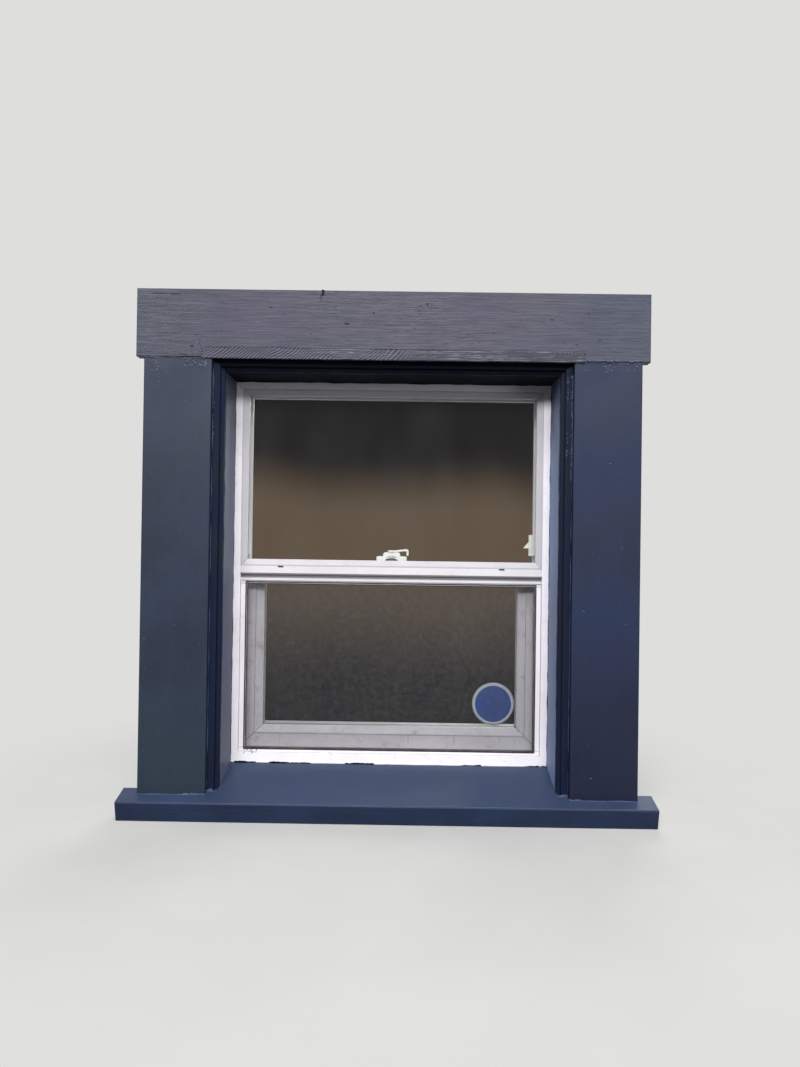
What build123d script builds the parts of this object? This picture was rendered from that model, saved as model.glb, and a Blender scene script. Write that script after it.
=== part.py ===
from build123d import *
import math
import os

os.makedirs("parts", exist_ok=True)

# A single-hung window set into an older wood surround. X is to the right seen from outside, Y goes
# into the building and Z is up. The origin is the centre of the wall opening, in the plane of the
# wall's outer face, which the casings lie against.

# Working clearances
seat_gap = 0.3
press_gap = 0.15

# Wall opening between the wood jambs
opening_width = 691.0
opening_height = 833.0
wall_depth = 220.0
jamb_thickness = 22.5
jamb_setback = 10.0

# Casings, with the thin strip nailed along the head casing's lower edge
casing_width = 138.0
side_casing_thickness = 22.0
head_casing_thickness = 26.0
head_casing_overhang = 15.0
strip_height = 23.0
strip_lap = 20.5
strip_proud = 1.0
strip_drop = 3.0
board_edge_radius = 2.0
strip_edge_radius = 1.0

# Stepped mouldings between the casings and the jambs, and the flat stops indoors
moulding_step = 8.0
moulding_projection = 8.0
moulding_edge_radius = 1.5
inside_stop_width = 12.0

# Sloped sill
sill_slope = 13.2
sill_thickness = 41.5
sill_projection = 54.0
sill_overhang = 33.8
sill_nose_radius = 3.0
drip_kerf = 6.0
drip_kerf_inset = 14.0

# Vinyl frame
frame_setback = 110.0
frame_side_gap = 0.5
frame_head_gap = 0.5
frame_face_width = 15.0
frame_edge_radius = 1.0
glass_stop_depth = 23.0
glass_stop_width = 12.0
glass_stop_thickness = 2.5
pocket_front_depth = 37.0
pocket_wall = 5.0
head_pocket_wall = 10.0
inner_leg_width = 24.4
inner_leg_thickness = 9.5

# Frame sill, with heights above the wood sill's level at the frame's face
nose_height = 22.0
nose_thickness = 6.0
screen_track_height = 16.0
screen_track_depth = 15.0
parting_height = 29.0
parting_thickness = 3.0
sash_floor_height = 20.0
dam_height = 36.0

# Meeting rail, with heights from the middle of the opening
rail_top = 13.0
rail_face_bottom = -7.0
rail_leg_bottom = -19.0
rail_leg_setback = 4.0
rail_leg_thickness = 3.5
rail_web_bottom = -5.0
rail_upright_top = 25.0
rail_upright_thickness = 10.0
rail_hook_top = 6.0
rail_hook_thickness = 1.2
rail_channel_width = 3.4
rail_floor_thickness = 2.5
weep_slot_length = 12.0
weep_slot_height = 3.5
weep_slot_depth = 14.0
weep_slot_place = 236.0

# Double glazing and the beads that hold it
pane_thickness = 3.0
pane_spacing = 10.0
spacer_width = 7.0
spacer_inset = 4.0
glass_edge_gap = 2.0
bead_lip = 3.0
upper_bead_lip = 2.7
upper_glass_rise = 3.0
upper_bead_width = 14.2
upper_bead_slope = 3.8
bead_setback = 0.4

# Lower sash
sash_thickness = 32.0
sash_front_gap = 2.0
sash_back_gap = 1.5
sash_side_gap = 6.5
sash_bottom_gap = 3.0
sash_top = 25.0
stile_width = 50.0
bottom_rail_height = 50.0
top_rail_height = 37.0
sash_bead_width = 18.7
sash_bead_setback = 0.6
sash_bead_slope = 4.6
sash_glass_setback = 7.5
sash_glass_lap = 14.0
hook_reach = 5.0
hook_top = 11.0
hook_bottom = -10.0
hook_web = 2.0
hook_thickness = 1.2
hook_half_length = 300.0
lift_lip_reach = 10.0
lift_lip_height = 6.0
lift_lip_half_length = 290.0
seal_half_length = 300.0
seal_width = 16.0
edge_radius = 1.5

# Balances in the sash's side grooves
channel_width = 17.0
channel_depth = 16.2
channel_wall = 1.2
channel_above_sash = 13.0
channel_offset = 0.5
groove_depth = 11.0
groove_gap = 0.5
spring_radius = 4.5
spring_length = 230.0
spring_above_sash_bottom = 16.0
guide_length = 14.0
guide_below_channel_top = 9.0
cord_radius = 0.8
cord_hole_radius = 1.5
cord_bottom = 5.0
anchor_below_head = 22.0
anchor_height = 12.0
anchor_width = 11.0
anchor_length = 9.0
anchor_setback = 3.3
cord_channel_gap = 0.8

# Take-out clip on the right balance
clip_thickness = 5.0
clip_height = 59.4
clip_stem_width = 13.0
clip_body_width = 17.0
clip_body_rise = 12.4
clip_nib_reach = 11.0
clip_nib_underside = 29.4
clip_nib_rise = 14.0
clip_nib_tip = 1.5
clip_setback = 3.0

# Sash lock
lock_half_length = 34.0
lock_depth = 31.0
lock_front_setback = 0.5
lock_tab_height = 11.0
lock_dome_half_length = 19.0
lock_dome_height = 20.0
lock_dome_radius = 5.0
lock_tab_radius = 3.0
lock_corner_chamfer = 3.0
lock_arch_half_width = 20.0
lock_arch_height = 12.0
lock_arch_depth = 5.5
lock_screw_place = 28.5
spindle_setback = 7.0
spindle_radius = 4.0
spindle_fit = 0.1
cam_thickness = 3.5
cam_above_sash = 2.0
cam_hub_radius = 6.0
cam_lobe_radius = 11.0
cam_lobe_offset = 6.0
cam_sweep_gap = 0.6
cavity_height = 6.2
square_side = 5.0
square_fit = 0.1
square_below_cam = 1.5
lever_hub_radius = 9.0
lever_hub_thickness = 4.7
lever_reach = 38.0
lever_width = 11.0
lever_rise = 3.0
lever_drop = 12.0
lever_tip_thickness = 4.5
lever_underside_gap = 0.7
lever_root_half_width = 4.0
lever_shoulder = 6.0
lever_crown = 1.0
lever_knee_radius = 3.5
lever_tip_radius = 2.1
lever_hub_chamfer = 1.0
lever_web = 3.0
lever_corner_length = 5.0
lever_corner_width = 2.5

# Keeper on the meeting rail
keeper_base_thickness = 1.4
keeper_half_length = 32.0
keeper_mouth_half_length = 20.0
keeper_setback = 0.8
keeper_depth = 8.8
keeper_screw_setback = 5.3
keeper_wall = 1.4
keeper_mouth_height = 4.9
keeper_lip_thickness = 2.2
keeper_screw_place = 26.0

# Screws
screw_head_radius = 3.4
screw_shank_radius = 1.7
lock_screw_length = 16.0
keeper_screw_length = 11.0
keeper_screw_head_radius = 3.0
frame_screw_head_radius = 4.0
frame_screw_shank_radius = 2.0
frame_screw_length = 25.0
frame_screw_heights = (-200.0, 300.0)

# Half screen
screen_thickness = 11.0
screen_bar_width = 14.5
screen_front_gap = 2.0
screen_back_gap = 1.0
screen_side_gap = 0.5
screen_top = -12.0
groove_start = 9.5
groove_width = 3.0
groove_floor = 5.0
lip_setback = 0.9
mesh_thickness = 0.4
corner_hole_radius = 1.3
corner_hole_inset = 5.0

# The wood surround's own places
opening_half_width = opening_width / 2
opening_top = opening_height / 2
sill_level = -opening_height / 2
jamb_outer = opening_half_width + jamb_thickness
head_jamb_top = opening_top + jamb_thickness
casing_outer = jamb_outer + casing_width
sill_half_length = casing_outer + sill_overhang
slope_rise = math.tan(math.radians(sill_slope))
along_slope = (math.cos(math.radians(sill_slope)), math.sin(math.radians(sill_slope)))

# The vinyl frame's own places
frame_half_width = opening_half_width - frame_side_gap
frame_top = opening_top - frame_head_gap
glass_stop_front = frame_setback + glass_stop_depth
pocket_front = frame_setback + pocket_front_depth
sash_front = pocket_front + sash_front_gap
sash_back = sash_front + sash_thickness
pocket_back = sash_back + sash_back_gap
frame_back = pocket_back + inner_leg_thickness
face_inner = frame_half_width - frame_face_width
pocket_half_width = frame_half_width - pocket_wall
stop_reach = frame_face_width + glass_stop_width
nose_top = sill_level + nose_height
sash_floor = sill_level + sash_floor_height

# The sash's own places
sash_half_width = pocket_half_width - sash_side_gap
sash_bottom = sash_floor + sash_bottom_gap
sight_half_width = sash_half_width - stile_width
sight_bottom = sash_bottom + bottom_rail_height
sight_top = sash_top - top_rail_height
unit_thickness = 2 * pane_thickness + pane_spacing
upper_glass_front = glass_stop_front - seat_gap - unit_thickness
sash_glass_front = sash_front + sash_glass_setback
sash_glass_back = sash_glass_front + unit_thickness
sash_glass_seat = sash_glass_back + seat_gap
bead_seat = stile_width - sash_bead_width - seat_gap
glass_seat = stile_width - sash_glass_lap
channel_inner = sash_half_width - groove_depth + seat_gap
channel_outer = channel_inner + channel_depth
channel_front = sash_front + (sash_thickness - channel_width) / 2 + channel_offset
channel_back = channel_front + channel_width
channel_top = sash_top + channel_above_sash
spindle_y = sash_front + spindle_setback
cam_reach = cam_lobe_offset + cam_lobe_radius


def sill_top(y):
    return sill_level + slope_rise * (y - frame_setback)


# A point of the sill plank, by its distance up the slope from the nose and its depth below the top
def plank(distance, depth):
    run, rise = along_slope
    return (
        -sill_projection + distance * run + depth * rise,
        sill_top(-sill_projection) + distance * rise - depth * run,
    )


def slope_plane(gap=0.0):
    run, rise = along_slope
    return Plane(origin=(0, frame_setback, sill_level + gap), x_dir=(1, 0, 0), z_dir=(0, -rise, run))


def save(piece, name):
    piece.part.label = name
    export_step(piece.part, f"parts/{name}.step")


# A closed outline of straight edges on a plane
def outline(plane, points):
    with BuildSketch(plane) as sketch:
        with BuildLine():
            Polyline(*points, close=True)
        make_face()
    return sketch.sketch


# Keeps what lies inside an outline seen from outside, whatever its depth
def front_mask(points):
    return extrude(
        outline(Plane.XZ.offset(-2 * wall_depth), points), amount=4 * wall_depth, mode=Mode.PRIVATE
    )


# A straight piece standing upright, with its outline in X and Y
def upright(points, bottom, top):
    with BuildPart() as piece:
        extrude(outline(Plane.XY.offset(bottom), points), amount=top - bottom)
    return piece


# A straight piece lying along X and centred on the window, with its outline in Y and Z
def level(points, half_length):
    with BuildPart() as piece:
        extrude(outline(Plane.YZ.offset(-half_length), points), amount=2 * half_length)
    return piece


# A block between two heights, given its corners in X and Y
def block(x_range, y_range, z_range):
    with BuildPart() as piece:
        with BuildSketch(Plane.XY.offset(z_range[0])):
            with Locations((sum(x_range) / 2, sum(y_range) / 2)):
                Rectangle(abs(x_range[1] - x_range[0]), abs(y_range[1] - y_range[0]))
        extrude(amount=z_range[1] - z_range[0])
    return piece


# One side of a mitred rectangle. The section runs inward from the edge, then in depth
def mitred_side(side, section, edges, low_rise=None, high_rise=None):
    half_width, bottom, top = edges
    reach = max(inward for inward, y in section)
    low_rise = reach if low_rise is None else low_rise
    high_rise = reach if high_rise is None else high_rise
    face = [
        (side * half_width, bottom),
        (side * (half_width - reach), bottom + low_rise),
        (side * (half_width - reach), top - high_rise),
        (side * half_width, top),
    ]
    with BuildPart() as piece:
        add(upright([(side * (half_width - inward), y) for inward, y in section], bottom, top).part)
        add(front_mask(face), mode=Mode.INTERSECT)
    return piece


# The head or the foot of a mitred rectangle, by the edge that its section runs inward from
def mitred_level(edge, inward_sign, section, half_width, run=None):
    reach = max(inward for inward, y in section)
    run = reach if run is None else run
    face = [
        (-half_width, edge),
        (half_width, edge),
        (half_width - run, edge + inward_sign * reach),
        (-half_width + run, edge + inward_sign * reach),
    ]
    with BuildPart() as piece:
        add(level([(y, edge + inward_sign * inward) for inward, y in section], half_width).part)
        add(front_mask(face), mode=Mode.INTERSECT)
    return piece


# A pane or sheet, from its front face back
def sheet(half_width, bottom, top, front, thickness):
    return block((-half_width, half_width), (front, front + thickness), (bottom, top))


# A flat ring between the panes
def spacer_ring(half_width, bottom, top, front):
    with BuildPart() as piece:
        with BuildSketch(Plane.XZ.offset(-front)):
            with Locations((0, (bottom + top) / 2)):
                Rectangle(2 * half_width, top - bottom)
                Rectangle(
                    2 * (half_width - spacer_width), top - bottom - 2 * spacer_width, mode=Mode.SUBTRACT
                )
        extrude(amount=-pane_spacing)
    return piece


# A countersunk screw with its head flush at a plane that faces out of the hole
def screws(planes, head_radius, shank_radius, length):
    head_height = head_radius - shank_radius
    with BuildPart() as piece:
        with Locations(*planes):
            Cone(shank_radius, head_radius, head_height, align=(Align.CENTER, Align.CENTER, Align.MAX))
            Cylinder(shank_radius, length, align=(Align.CENTER, Align.CENTER, Align.MAX))
    return piece


# Side casings, standing on the sloped sill
def side_casing(side):
    with BuildPart() as piece:
        add(
            block(
                (side * jamb_outer, side * casing_outer), (-side_casing_thickness, 0),
                (sill_top(-sill_projection), head_jamb_top),
            ).part
        )
        fillet(piece.edges().filter_by(Axis.Z).group_by(Axis.Y)[0], radius=board_edge_radius)
        split(bisect_by=slope_plane(), keep=Keep.TOP)
    return piece


save(side_casing(-1), "left_casing")
save(side_casing(1), "right_casing")

# Head casing, rebated along its lower edge for the strip
strip_half_length = jamb_outer + strip_lap
strip_back = -side_casing_thickness - seat_gap
strip_top = head_jamb_top - strip_drop + strip_height
head_casing_half_length = casing_outer + head_casing_overhang

with BuildPart() as head_casing:
    add(
        block(
            (-head_casing_half_length, head_casing_half_length), (-head_casing_thickness, 0),
            (head_jamb_top, head_jamb_top + casing_width),
        ).part
    )
    fillet(head_casing.faces().sort_by(Axis.Y)[0].edges(), radius=board_edge_radius)
    add(
        block(
            (-strip_half_length, strip_half_length), (-head_casing_thickness, strip_back),
            (head_jamb_top, strip_top),
        ).part,
        mode=Mode.SUBTRACT,
    )
save(head_casing, "head_casing")

with BuildPart() as head_strip:
    add(
        block(
            (-strip_half_length, strip_half_length), (-head_casing_thickness - strip_proud, strip_back),
            (strip_top - strip_height, strip_top),
        ).part
    )
    fillet(head_strip.faces().sort_by(Axis.Y)[0].edges(), radius=strip_edge_radius)
save(head_strip, "head_strip")

# Sill: a plank laid to the slope, with a drip kerf under its nose and horns in front of the wall
plank_length = (wall_depth + sill_projection) / along_slope[0]
sill_back_bottom = sill_top(wall_depth) - sill_thickness / along_slope[0]

with BuildPart() as sill:
    with BuildSketch(Plane.YZ.offset(-sill_half_length)) as sill_section:
        with BuildLine():
            Polyline(
                plank(0, 0), plank(plank_length, 0), (wall_depth, sill_back_bottom), plank(0, sill_thickness),
                close=True,
            )
        make_face()
        fillet(sill_section.vertices().sort_by(Axis.X)[:2], radius=sill_nose_radius)
        with BuildLine():
            Polyline(
                plank(drip_kerf_inset, sill_thickness), plank(drip_kerf_inset, sill_thickness - drip_kerf),
                plank(drip_kerf_inset + drip_kerf, sill_thickness - drip_kerf),
                plank(drip_kerf_inset + drip_kerf, sill_thickness),
                close=True,
            )
        make_face(mode=Mode.SUBTRACT)
    extrude(amount=2 * sill_half_length)
    for side in (-1, 1):
        behind_horn = block(
            (side * jamb_outer, side * 2 * sill_half_length), (0, 2 * wall_depth),
            (sill_level - opening_height, opening_top),
        )
        add(behind_horn.part, mode=Mode.SUBTRACT)
save(sill, "sill")


# Wood jambs with pilot holes for the screws that hold the vinyl frame
screw_y = (pocket_front + pocket_back) / 2


def frame_screw_planes(side):
    return [
        Plane(origin=(side * pocket_half_width, screw_y, height), z_dir=(-side, 0, 0))
        for height in frame_screw_heights
    ]


def side_jamb(side):
    with BuildPart() as piece:
        add(
            block(
                (side * opening_half_width, side * jamb_outer), (jamb_setback, wall_depth),
                (sill_top(0), opening_top),
            ).part
        )
        split(bisect_by=slope_plane(), keep=Keep.TOP)
        with Locations(*frame_screw_planes(side)):
            Cylinder(
                frame_screw_shank_radius + press_gap, frame_screw_length + seat_gap,
                align=(Align.CENTER, Align.CENTER, Align.MAX), mode=Mode.SUBTRACT,
            )
    return piece


save(side_jamb(-1), "left_jamb")
save(side_jamb(1), "right_jamb")

with BuildPart() as head_jamb:
    add(block((-jamb_outer, jamb_outer), (jamb_setback, wall_depth), (opening_top, head_jamb_top)).part)
save(head_jamb, "head_jamb")

# Stepped mouldings over the jambs' front edges, mitred at the top corners. The step is inward
moulding_section = [
    (0, jamb_setback), (0, -moulding_projection), (jamb_thickness - moulding_step, -moulding_projection),
    (jamb_thickness - moulding_step, 0), (jamb_thickness, 0), (jamb_thickness, jamb_setback),
]


# Rounds the moulding's front edges and the edge of its step
def ease_moulding(piece, run):
    long_edges = piece.edges().filter_by(run).group_by(Axis.Y)
    fillet(long_edges[0] + long_edges[1].sort_by_distance((0, 0, 0))[:1], radius=moulding_edge_radius)


def side_moulding(side):
    with BuildPart() as piece:
        add(
            mitred_side(
                side, moulding_section, (jamb_outer, sill_top(-sill_projection), head_jamb_top), low_rise=0
            ).part
        )
        ease_moulding(piece, Axis.Z)
        split(bisect_by=slope_plane(), keep=Keep.TOP)
    return piece


save(side_moulding(-1), "left_stop_moulding")
save(side_moulding(1), "right_stop_moulding")
head_moulding = mitred_level(head_jamb_top, -1, moulding_section, jamb_outer)
with head_moulding:
    ease_moulding(head_moulding, Axis.X)
save(head_moulding, "head_stop_moulding")

# Flat stops indoors, which the vinyl frame is pushed back against
stop_front = frame_back + seat_gap
inside_stop_inner = opening_half_width - inside_stop_width


def side_inside_stop(side):
    with BuildPart() as piece:
        add(
            block(
                (side * inside_stop_inner, side * opening_half_width), (stop_front, wall_depth),
                (sill_level, opening_top - inside_stop_width),
            ).part
        )
        split(bisect_by=slope_plane(), keep=Keep.TOP)
    return piece


save(side_inside_stop(-1), "left_inside_stop")
save(side_inside_stop(1), "right_inside_stop")

with BuildPart() as head_inside_stop:
    add(
        block(
            (-opening_half_width, opening_half_width), (stop_front, wall_depth),
            (opening_top - inside_stop_width, opening_top),
        ).part
    )
save(head_inside_stop, "head_inside_stop")


# Vinyl frame. Its section runs inward from the outer edge, and only the sash pocket's wall differs
def frame_section(wall):
    return [
        (0, frame_setback),
        (frame_face_width, frame_setback),
        (frame_face_width, glass_stop_front),
        (stop_reach, glass_stop_front),
        (stop_reach, glass_stop_front + glass_stop_thickness),
        (frame_face_width, glass_stop_front + glass_stop_thickness),
        (frame_face_width, pocket_front),
        (wall, pocket_front),
        (wall, pocket_back),
        (inner_leg_width, pocket_back),
        (inner_leg_width, frame_back),
        (0, frame_back),
    ]


frame_bottom = sill_level + seat_gap
corner_rise = (nose_top - frame_bottom) / frame_face_width


def frame_side(side):
    with BuildPart() as piece:
        add(
            mitred_side(
                side, frame_section(pocket_wall), (frame_half_width, frame_bottom, frame_top),
                low_rise=corner_rise * stop_reach,
            ).part
        )
        split(bisect_by=slope_plane(seat_gap), keep=Keep.TOP)
        face_edge = piece.edges().filter_by(Axis.Z).group_by(Axis.Y)[0].sort_by(Axis.X)
        fillet(face_edge[0] if side > 0 else face_edge[-1], radius=frame_edge_radius)
        with Locations(*frame_screw_planes(side)):
            CounterSinkHole(
                radius=frame_screw_shank_radius + press_gap,
                counter_sink_radius=frame_screw_head_radius + press_gap,
                depth=2 * frame_screw_length, counter_sink_angle=90,
            )
    return piece


save(frame_side(-1), "frame_left")
save(frame_side(1), "frame_right")

with BuildPart() as frame_head:
    add(mitred_level(frame_top, -1, frame_section(head_pocket_wall), frame_half_width).part)
    face_edge = frame_head.edges().filter_by(Axis.X).group_by(Axis.Y)[0].sort_by(Axis.Z)[0]
    fillet(face_edge, radius=frame_edge_radius)
save(frame_head, "frame_head")

# Frame sill, with a track for the screen, a parting upstand, the sash's floor and a dam indoors
track_front = frame_setback + nose_thickness
track_back = track_front + screen_track_depth
track_floor = sill_level + screen_track_height
parting_top = sill_level + parting_height
dam_top = sill_level + dam_height
parting_back = track_back + parting_thickness
sill_member_section = [
    (frame_setback, sill_top(frame_setback) + seat_gap),
    (frame_setback, nose_top),
    (track_front, nose_top),
    (track_front, track_floor),
    (track_back, track_floor),
    (track_back, parting_top),
    (parting_back, parting_top),
    (parting_back, sash_floor),
    (pocket_back, sash_floor),
    (pocket_back, dam_top),
    (frame_back, dam_top),
    (frame_back, sill_top(frame_back) + seat_gap),
]
dam_rise = dam_top - frame_bottom

with BuildPart() as frame_sill:
    add(level(sill_member_section, frame_half_width).part)
    add(
        front_mask(
            [
                (-frame_half_width, frame_bottom), (frame_half_width, frame_bottom),
                (frame_half_width - dam_rise / corner_rise, dam_top),
                (-frame_half_width + dam_rise / corner_rise, dam_top),
            ]
        ),
        mode=Mode.INTERSECT,
    )
save(frame_sill, "frame_sill")

# Meeting rail, which carries the upper glass, takes the screen's top and hooks on the sash
rail_leg_front = frame_setback + rail_leg_setback
rail_leg_back = rail_leg_front + rail_leg_thickness
screen_front = track_front + screen_front_gap
screen_back = screen_front + screen_thickness
rail_pocket_back = screen_back + screen_back_gap
rail_back = glass_stop_front + rail_upright_thickness
rail_hook_front = rail_back + rail_channel_width
rail_hook_back = rail_hook_front + rail_hook_thickness
rail_section = [
    (frame_setback, rail_top),
    (frame_setback, rail_face_bottom),
    (rail_leg_front, rail_face_bottom),
    (rail_leg_front, rail_leg_bottom),
    (rail_leg_back, rail_leg_bottom),
    (rail_leg_back, rail_web_bottom),
    (rail_pocket_back, rail_web_bottom),
    (rail_pocket_back, rail_leg_bottom),
    (rail_hook_back, rail_leg_bottom),
    (rail_hook_back, rail_hook_top),
    (rail_hook_front, rail_hook_top),
    (rail_hook_front, rail_leg_bottom + rail_floor_thickness),
    (rail_back, rail_leg_bottom + rail_floor_thickness),
    (rail_back, rail_upright_top),
    (glass_stop_front, rail_upright_top),
    (glass_stop_front, rail_top),
]
keeper_screw_y = glass_stop_front + keeper_screw_setback


def keeper_screw_planes():
    seat = rail_upright_top + keeper_base_thickness
    return [Plane(origin=(side * keeper_screw_place, keeper_screw_y, seat)) for side in (-1, 1)]


with BuildPart() as meeting_rail:
    add(level(rail_section, face_inner).part)
    for side in (-1, 1):
        beside_stop = block(
            (side * (frame_half_width - stop_reach - seat_gap), side * frame_half_width),
            (glass_stop_front - seat_gap, 2 * wall_depth), (rail_leg_bottom, rail_upright_top),
        )
        add(beside_stop.part, mode=Mode.SUBTRACT)
        weep_slot = block(
            (side * weep_slot_place, side * (weep_slot_place + weep_slot_length)),
            (frame_setback, frame_setback + weep_slot_depth),
            (rail_top - weep_slot_height, rail_top),
        )
        add(weep_slot.part, mode=Mode.SUBTRACT)
    fillet(meeting_rail.edges().filter_by(Axis.X).group_by(Axis.Y)[0].sort_by(Axis.Z)[0], radius=edge_radius)
    with Locations(*keeper_screw_planes()):
        Cylinder(
            screw_shank_radius + press_gap, keeper_screw_length + seat_gap,
            align=(Align.CENTER, Align.CENTER, Align.MAX), mode=Mode.SUBTRACT,
        )
save(meeting_rail, "meeting_rail")

# Beads round the upper glass: a small square edge, then a slope down to the glass
upper_bead_front = frame_setback + bead_setback
upper_bead_back = upper_glass_front - seat_gap
upper_bead_section = [
    (0, upper_bead_front), (upper_bead_lip, upper_bead_front),
    (upper_bead_width, upper_bead_front + upper_bead_slope), (upper_bead_width, upper_bead_back),
    (0, upper_bead_back),
]
bead_edges = (face_inner - seat_gap, rail_top + seat_gap, frame_top - frame_face_width - seat_gap)

save(mitred_side(-1, upper_bead_section, bead_edges), "upper_bead_left")
save(mitred_side(1, upper_bead_section, bead_edges), "upper_bead_right")
save(mitred_level(bead_edges[2], -1, upper_bead_section, bead_edges[0]), "upper_bead_head")
save(mitred_level(bead_edges[1], 1, upper_bead_section, bead_edges[0]), "upper_bead_foot")


# A sealed glass unit of two panes and the spacer between them
def glass_unit(prefix, half_width, bottom, top, front):
    save(sheet(half_width, bottom, top, front, pane_thickness), f"{prefix}_outer_pane")
    ring = spacer_ring(
        half_width - spacer_inset, bottom + spacer_inset, top - spacer_inset, front + pane_thickness
    )
    save(ring, f"{prefix}_spacer")
    inner_front = front + pane_thickness + pane_spacing
    save(sheet(half_width, bottom, top, inner_front, pane_thickness), f"{prefix}_inner_pane")


glass_unit(
    "upper", face_inner - glass_edge_gap, rail_top + upper_glass_rise,
    frame_top - frame_face_width - glass_edge_gap, upper_glass_front,
)

# Screws through the frame's side pockets into the wood jambs
frame_screws = screws(
    frame_screw_planes(-1) + frame_screw_planes(1), frame_screw_head_radius, frame_screw_shank_radius,
    frame_screw_length,
)
save(frame_screws, "frame_screws")

# Keeper: a base on the meeting rail and a lip over the mouth that the lock's cam turns into
keeper_front = glass_stop_front + keeper_setback
keeper_base_top = rail_upright_top + keeper_base_thickness
keeper_mouth_top = keeper_base_top + keeper_mouth_height
keeper_back = keeper_front + keeper_depth
keeper_section = [
    (keeper_front, rail_upright_top),
    (keeper_back, rail_upright_top),
    (keeper_back, keeper_base_top),
    (keeper_front + keeper_wall, keeper_base_top),
    (keeper_front + keeper_wall, keeper_mouth_top),
    (keeper_back, keeper_mouth_top),
    (keeper_back, keeper_mouth_top + keeper_lip_thickness),
    (keeper_front, keeper_mouth_top + keeper_lip_thickness),
]

with BuildPart() as keeper:
    add(level(keeper_section, keeper_mouth_half_length).part)
    add(
        block(
            (-keeper_half_length, keeper_half_length), (keeper_front, keeper_back),
            (rail_upright_top, keeper_base_top),
        ).part
    )
    fillet(keeper.edges().filter_by(Axis.X).group_by(Axis.Z)[-1], radius=keeper_wall / 2)
    with Locations(*keeper_screw_planes()):
        CounterSinkHole(
            radius=screw_shank_radius + press_gap,
            counter_sink_radius=keeper_screw_head_radius + press_gap,
            depth=keeper_screw_length, counter_sink_angle=90,
        )
save(keeper, "keeper")
keeper_screws = screws(
    keeper_screw_planes(), keeper_screw_head_radius, screw_shank_radius, keeper_screw_length
)
save(keeper_screws, "keeper_screws")


# Lower sash stiles. Their section runs inward: bead rebate, glass rebate, back wall, balance groove
def sash_section(grooved):
    groove = [
        (0, channel_back + groove_gap), (groove_depth, channel_back + groove_gap),
        (groove_depth, channel_front - groove_gap), (0, channel_front - groove_gap),
    ]
    return [
        (0, sash_front),
        (bead_seat, sash_front),
        (bead_seat, sash_glass_front - press_gap),
        (glass_seat, sash_glass_front - press_gap),
        (glass_seat, sash_glass_seat),
        (stile_width, sash_glass_seat),
        (stile_width, sash_back),
        (0, sash_back),
    ] + (groove if grooved else [])


sash_edges = (sash_half_width, sash_bottom, sash_top)


def stile(side):
    return mitred_side(
        side, sash_section(True), sash_edges, low_rise=bottom_rail_height, high_rise=top_rail_height
    )


save(stile(-1), "left_stile")
save(stile(1), "right_stile")

# The balance grooves run on past the mitres, through the ends of both rails
def cut_grooves():
    for side in (-1, 1):
        groove = block(
            (side * (sash_half_width - groove_depth), side * 2 * sash_half_width),
            (channel_front - groove_gap, channel_back + groove_gap),
            (sash_bottom - stile_width, sash_top + stile_width),
        )
        add(groove.part, mode=Mode.SUBTRACT)


# Bottom rail, with the lip indoors that the sash is lifted by
with BuildPart() as bottom_rail:
    add(mitred_level(sash_bottom, 1, sash_section(False), sash_half_width).part)
    cut_grooves()
    add(
        level(
            [
                (sash_back, sight_bottom), (sash_back + lift_lip_reach, sight_bottom),
                (sash_back + lift_lip_reach, sight_bottom - lift_lip_height / 2),
                (sash_back, sight_bottom - lift_lip_height),
            ],
            lift_lip_half_length,
        ).part
    )
save(bottom_rail, "sash_bottom_rail")

# Top rail, with the hook in front that closes against the meeting rail
hook_front = sash_front - hook_reach
top_glass_seat = sight_top + sash_glass_lap
lock_screw_y = sash_front + sash_thickness / 2
top_rail_section = [
    (sash_front, sash_top),
    (sash_back, sash_top),
    (sash_back, sight_top),
    (sash_glass_seat, sight_top),
    (sash_glass_seat, top_glass_seat),
    (sash_glass_front - press_gap, top_glass_seat),
    (sash_glass_front - press_gap, sight_top + sash_bead_width + seat_gap),
    (sash_front, sight_top + sash_bead_width + seat_gap),
]
top_rail_hook = [
    (sash_front, hook_top),
    (sash_front, hook_top - hook_web),
    (hook_front + hook_thickness, hook_top - hook_web),
    (hook_front + hook_thickness, hook_bottom),
    (hook_front, hook_bottom),
    (hook_front, hook_top),
]


def lock_screw_planes():
    seat = sash_top + lock_tab_height
    return [Plane(origin=(side * lock_screw_place, lock_screw_y, seat)) for side in (-1, 1)]


with BuildPart() as top_rail:
    add(level(top_rail_section, sash_half_width).part)
    add(
        front_mask(
            [
                (-sash_half_width, sash_top), (sash_half_width, sash_top),
                (sight_half_width, sight_top), (-sight_half_width, sight_top),
            ]
        ),
        mode=Mode.INTERSECT,
    )
    cut_grooves()
    add(level(top_rail_hook, hook_half_length).part)
    with Locations(*lock_screw_planes()):
        Cylinder(
            screw_shank_radius + press_gap, lock_screw_length + seat_gap,
            align=(Align.CENTER, Align.CENTER, Align.MAX), mode=Mode.SUBTRACT,
        )
save(top_rail, "sash_top_rail")

# Beads round the sash glass
sash_bead_front = sash_front + sash_bead_setback
sash_bead_back = sash_glass_front - seat_gap
sash_bead_section = [
    (0, sash_bead_front), (bead_lip, sash_bead_front),
    (sash_bead_width, sash_bead_front + sash_bead_slope), (sash_bead_width, sash_bead_back),
    (0, sash_bead_back),
]
sash_bead_edges = (
    sight_half_width + sash_bead_width, sight_bottom - sash_bead_width, sight_top + sash_bead_width
)

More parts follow.
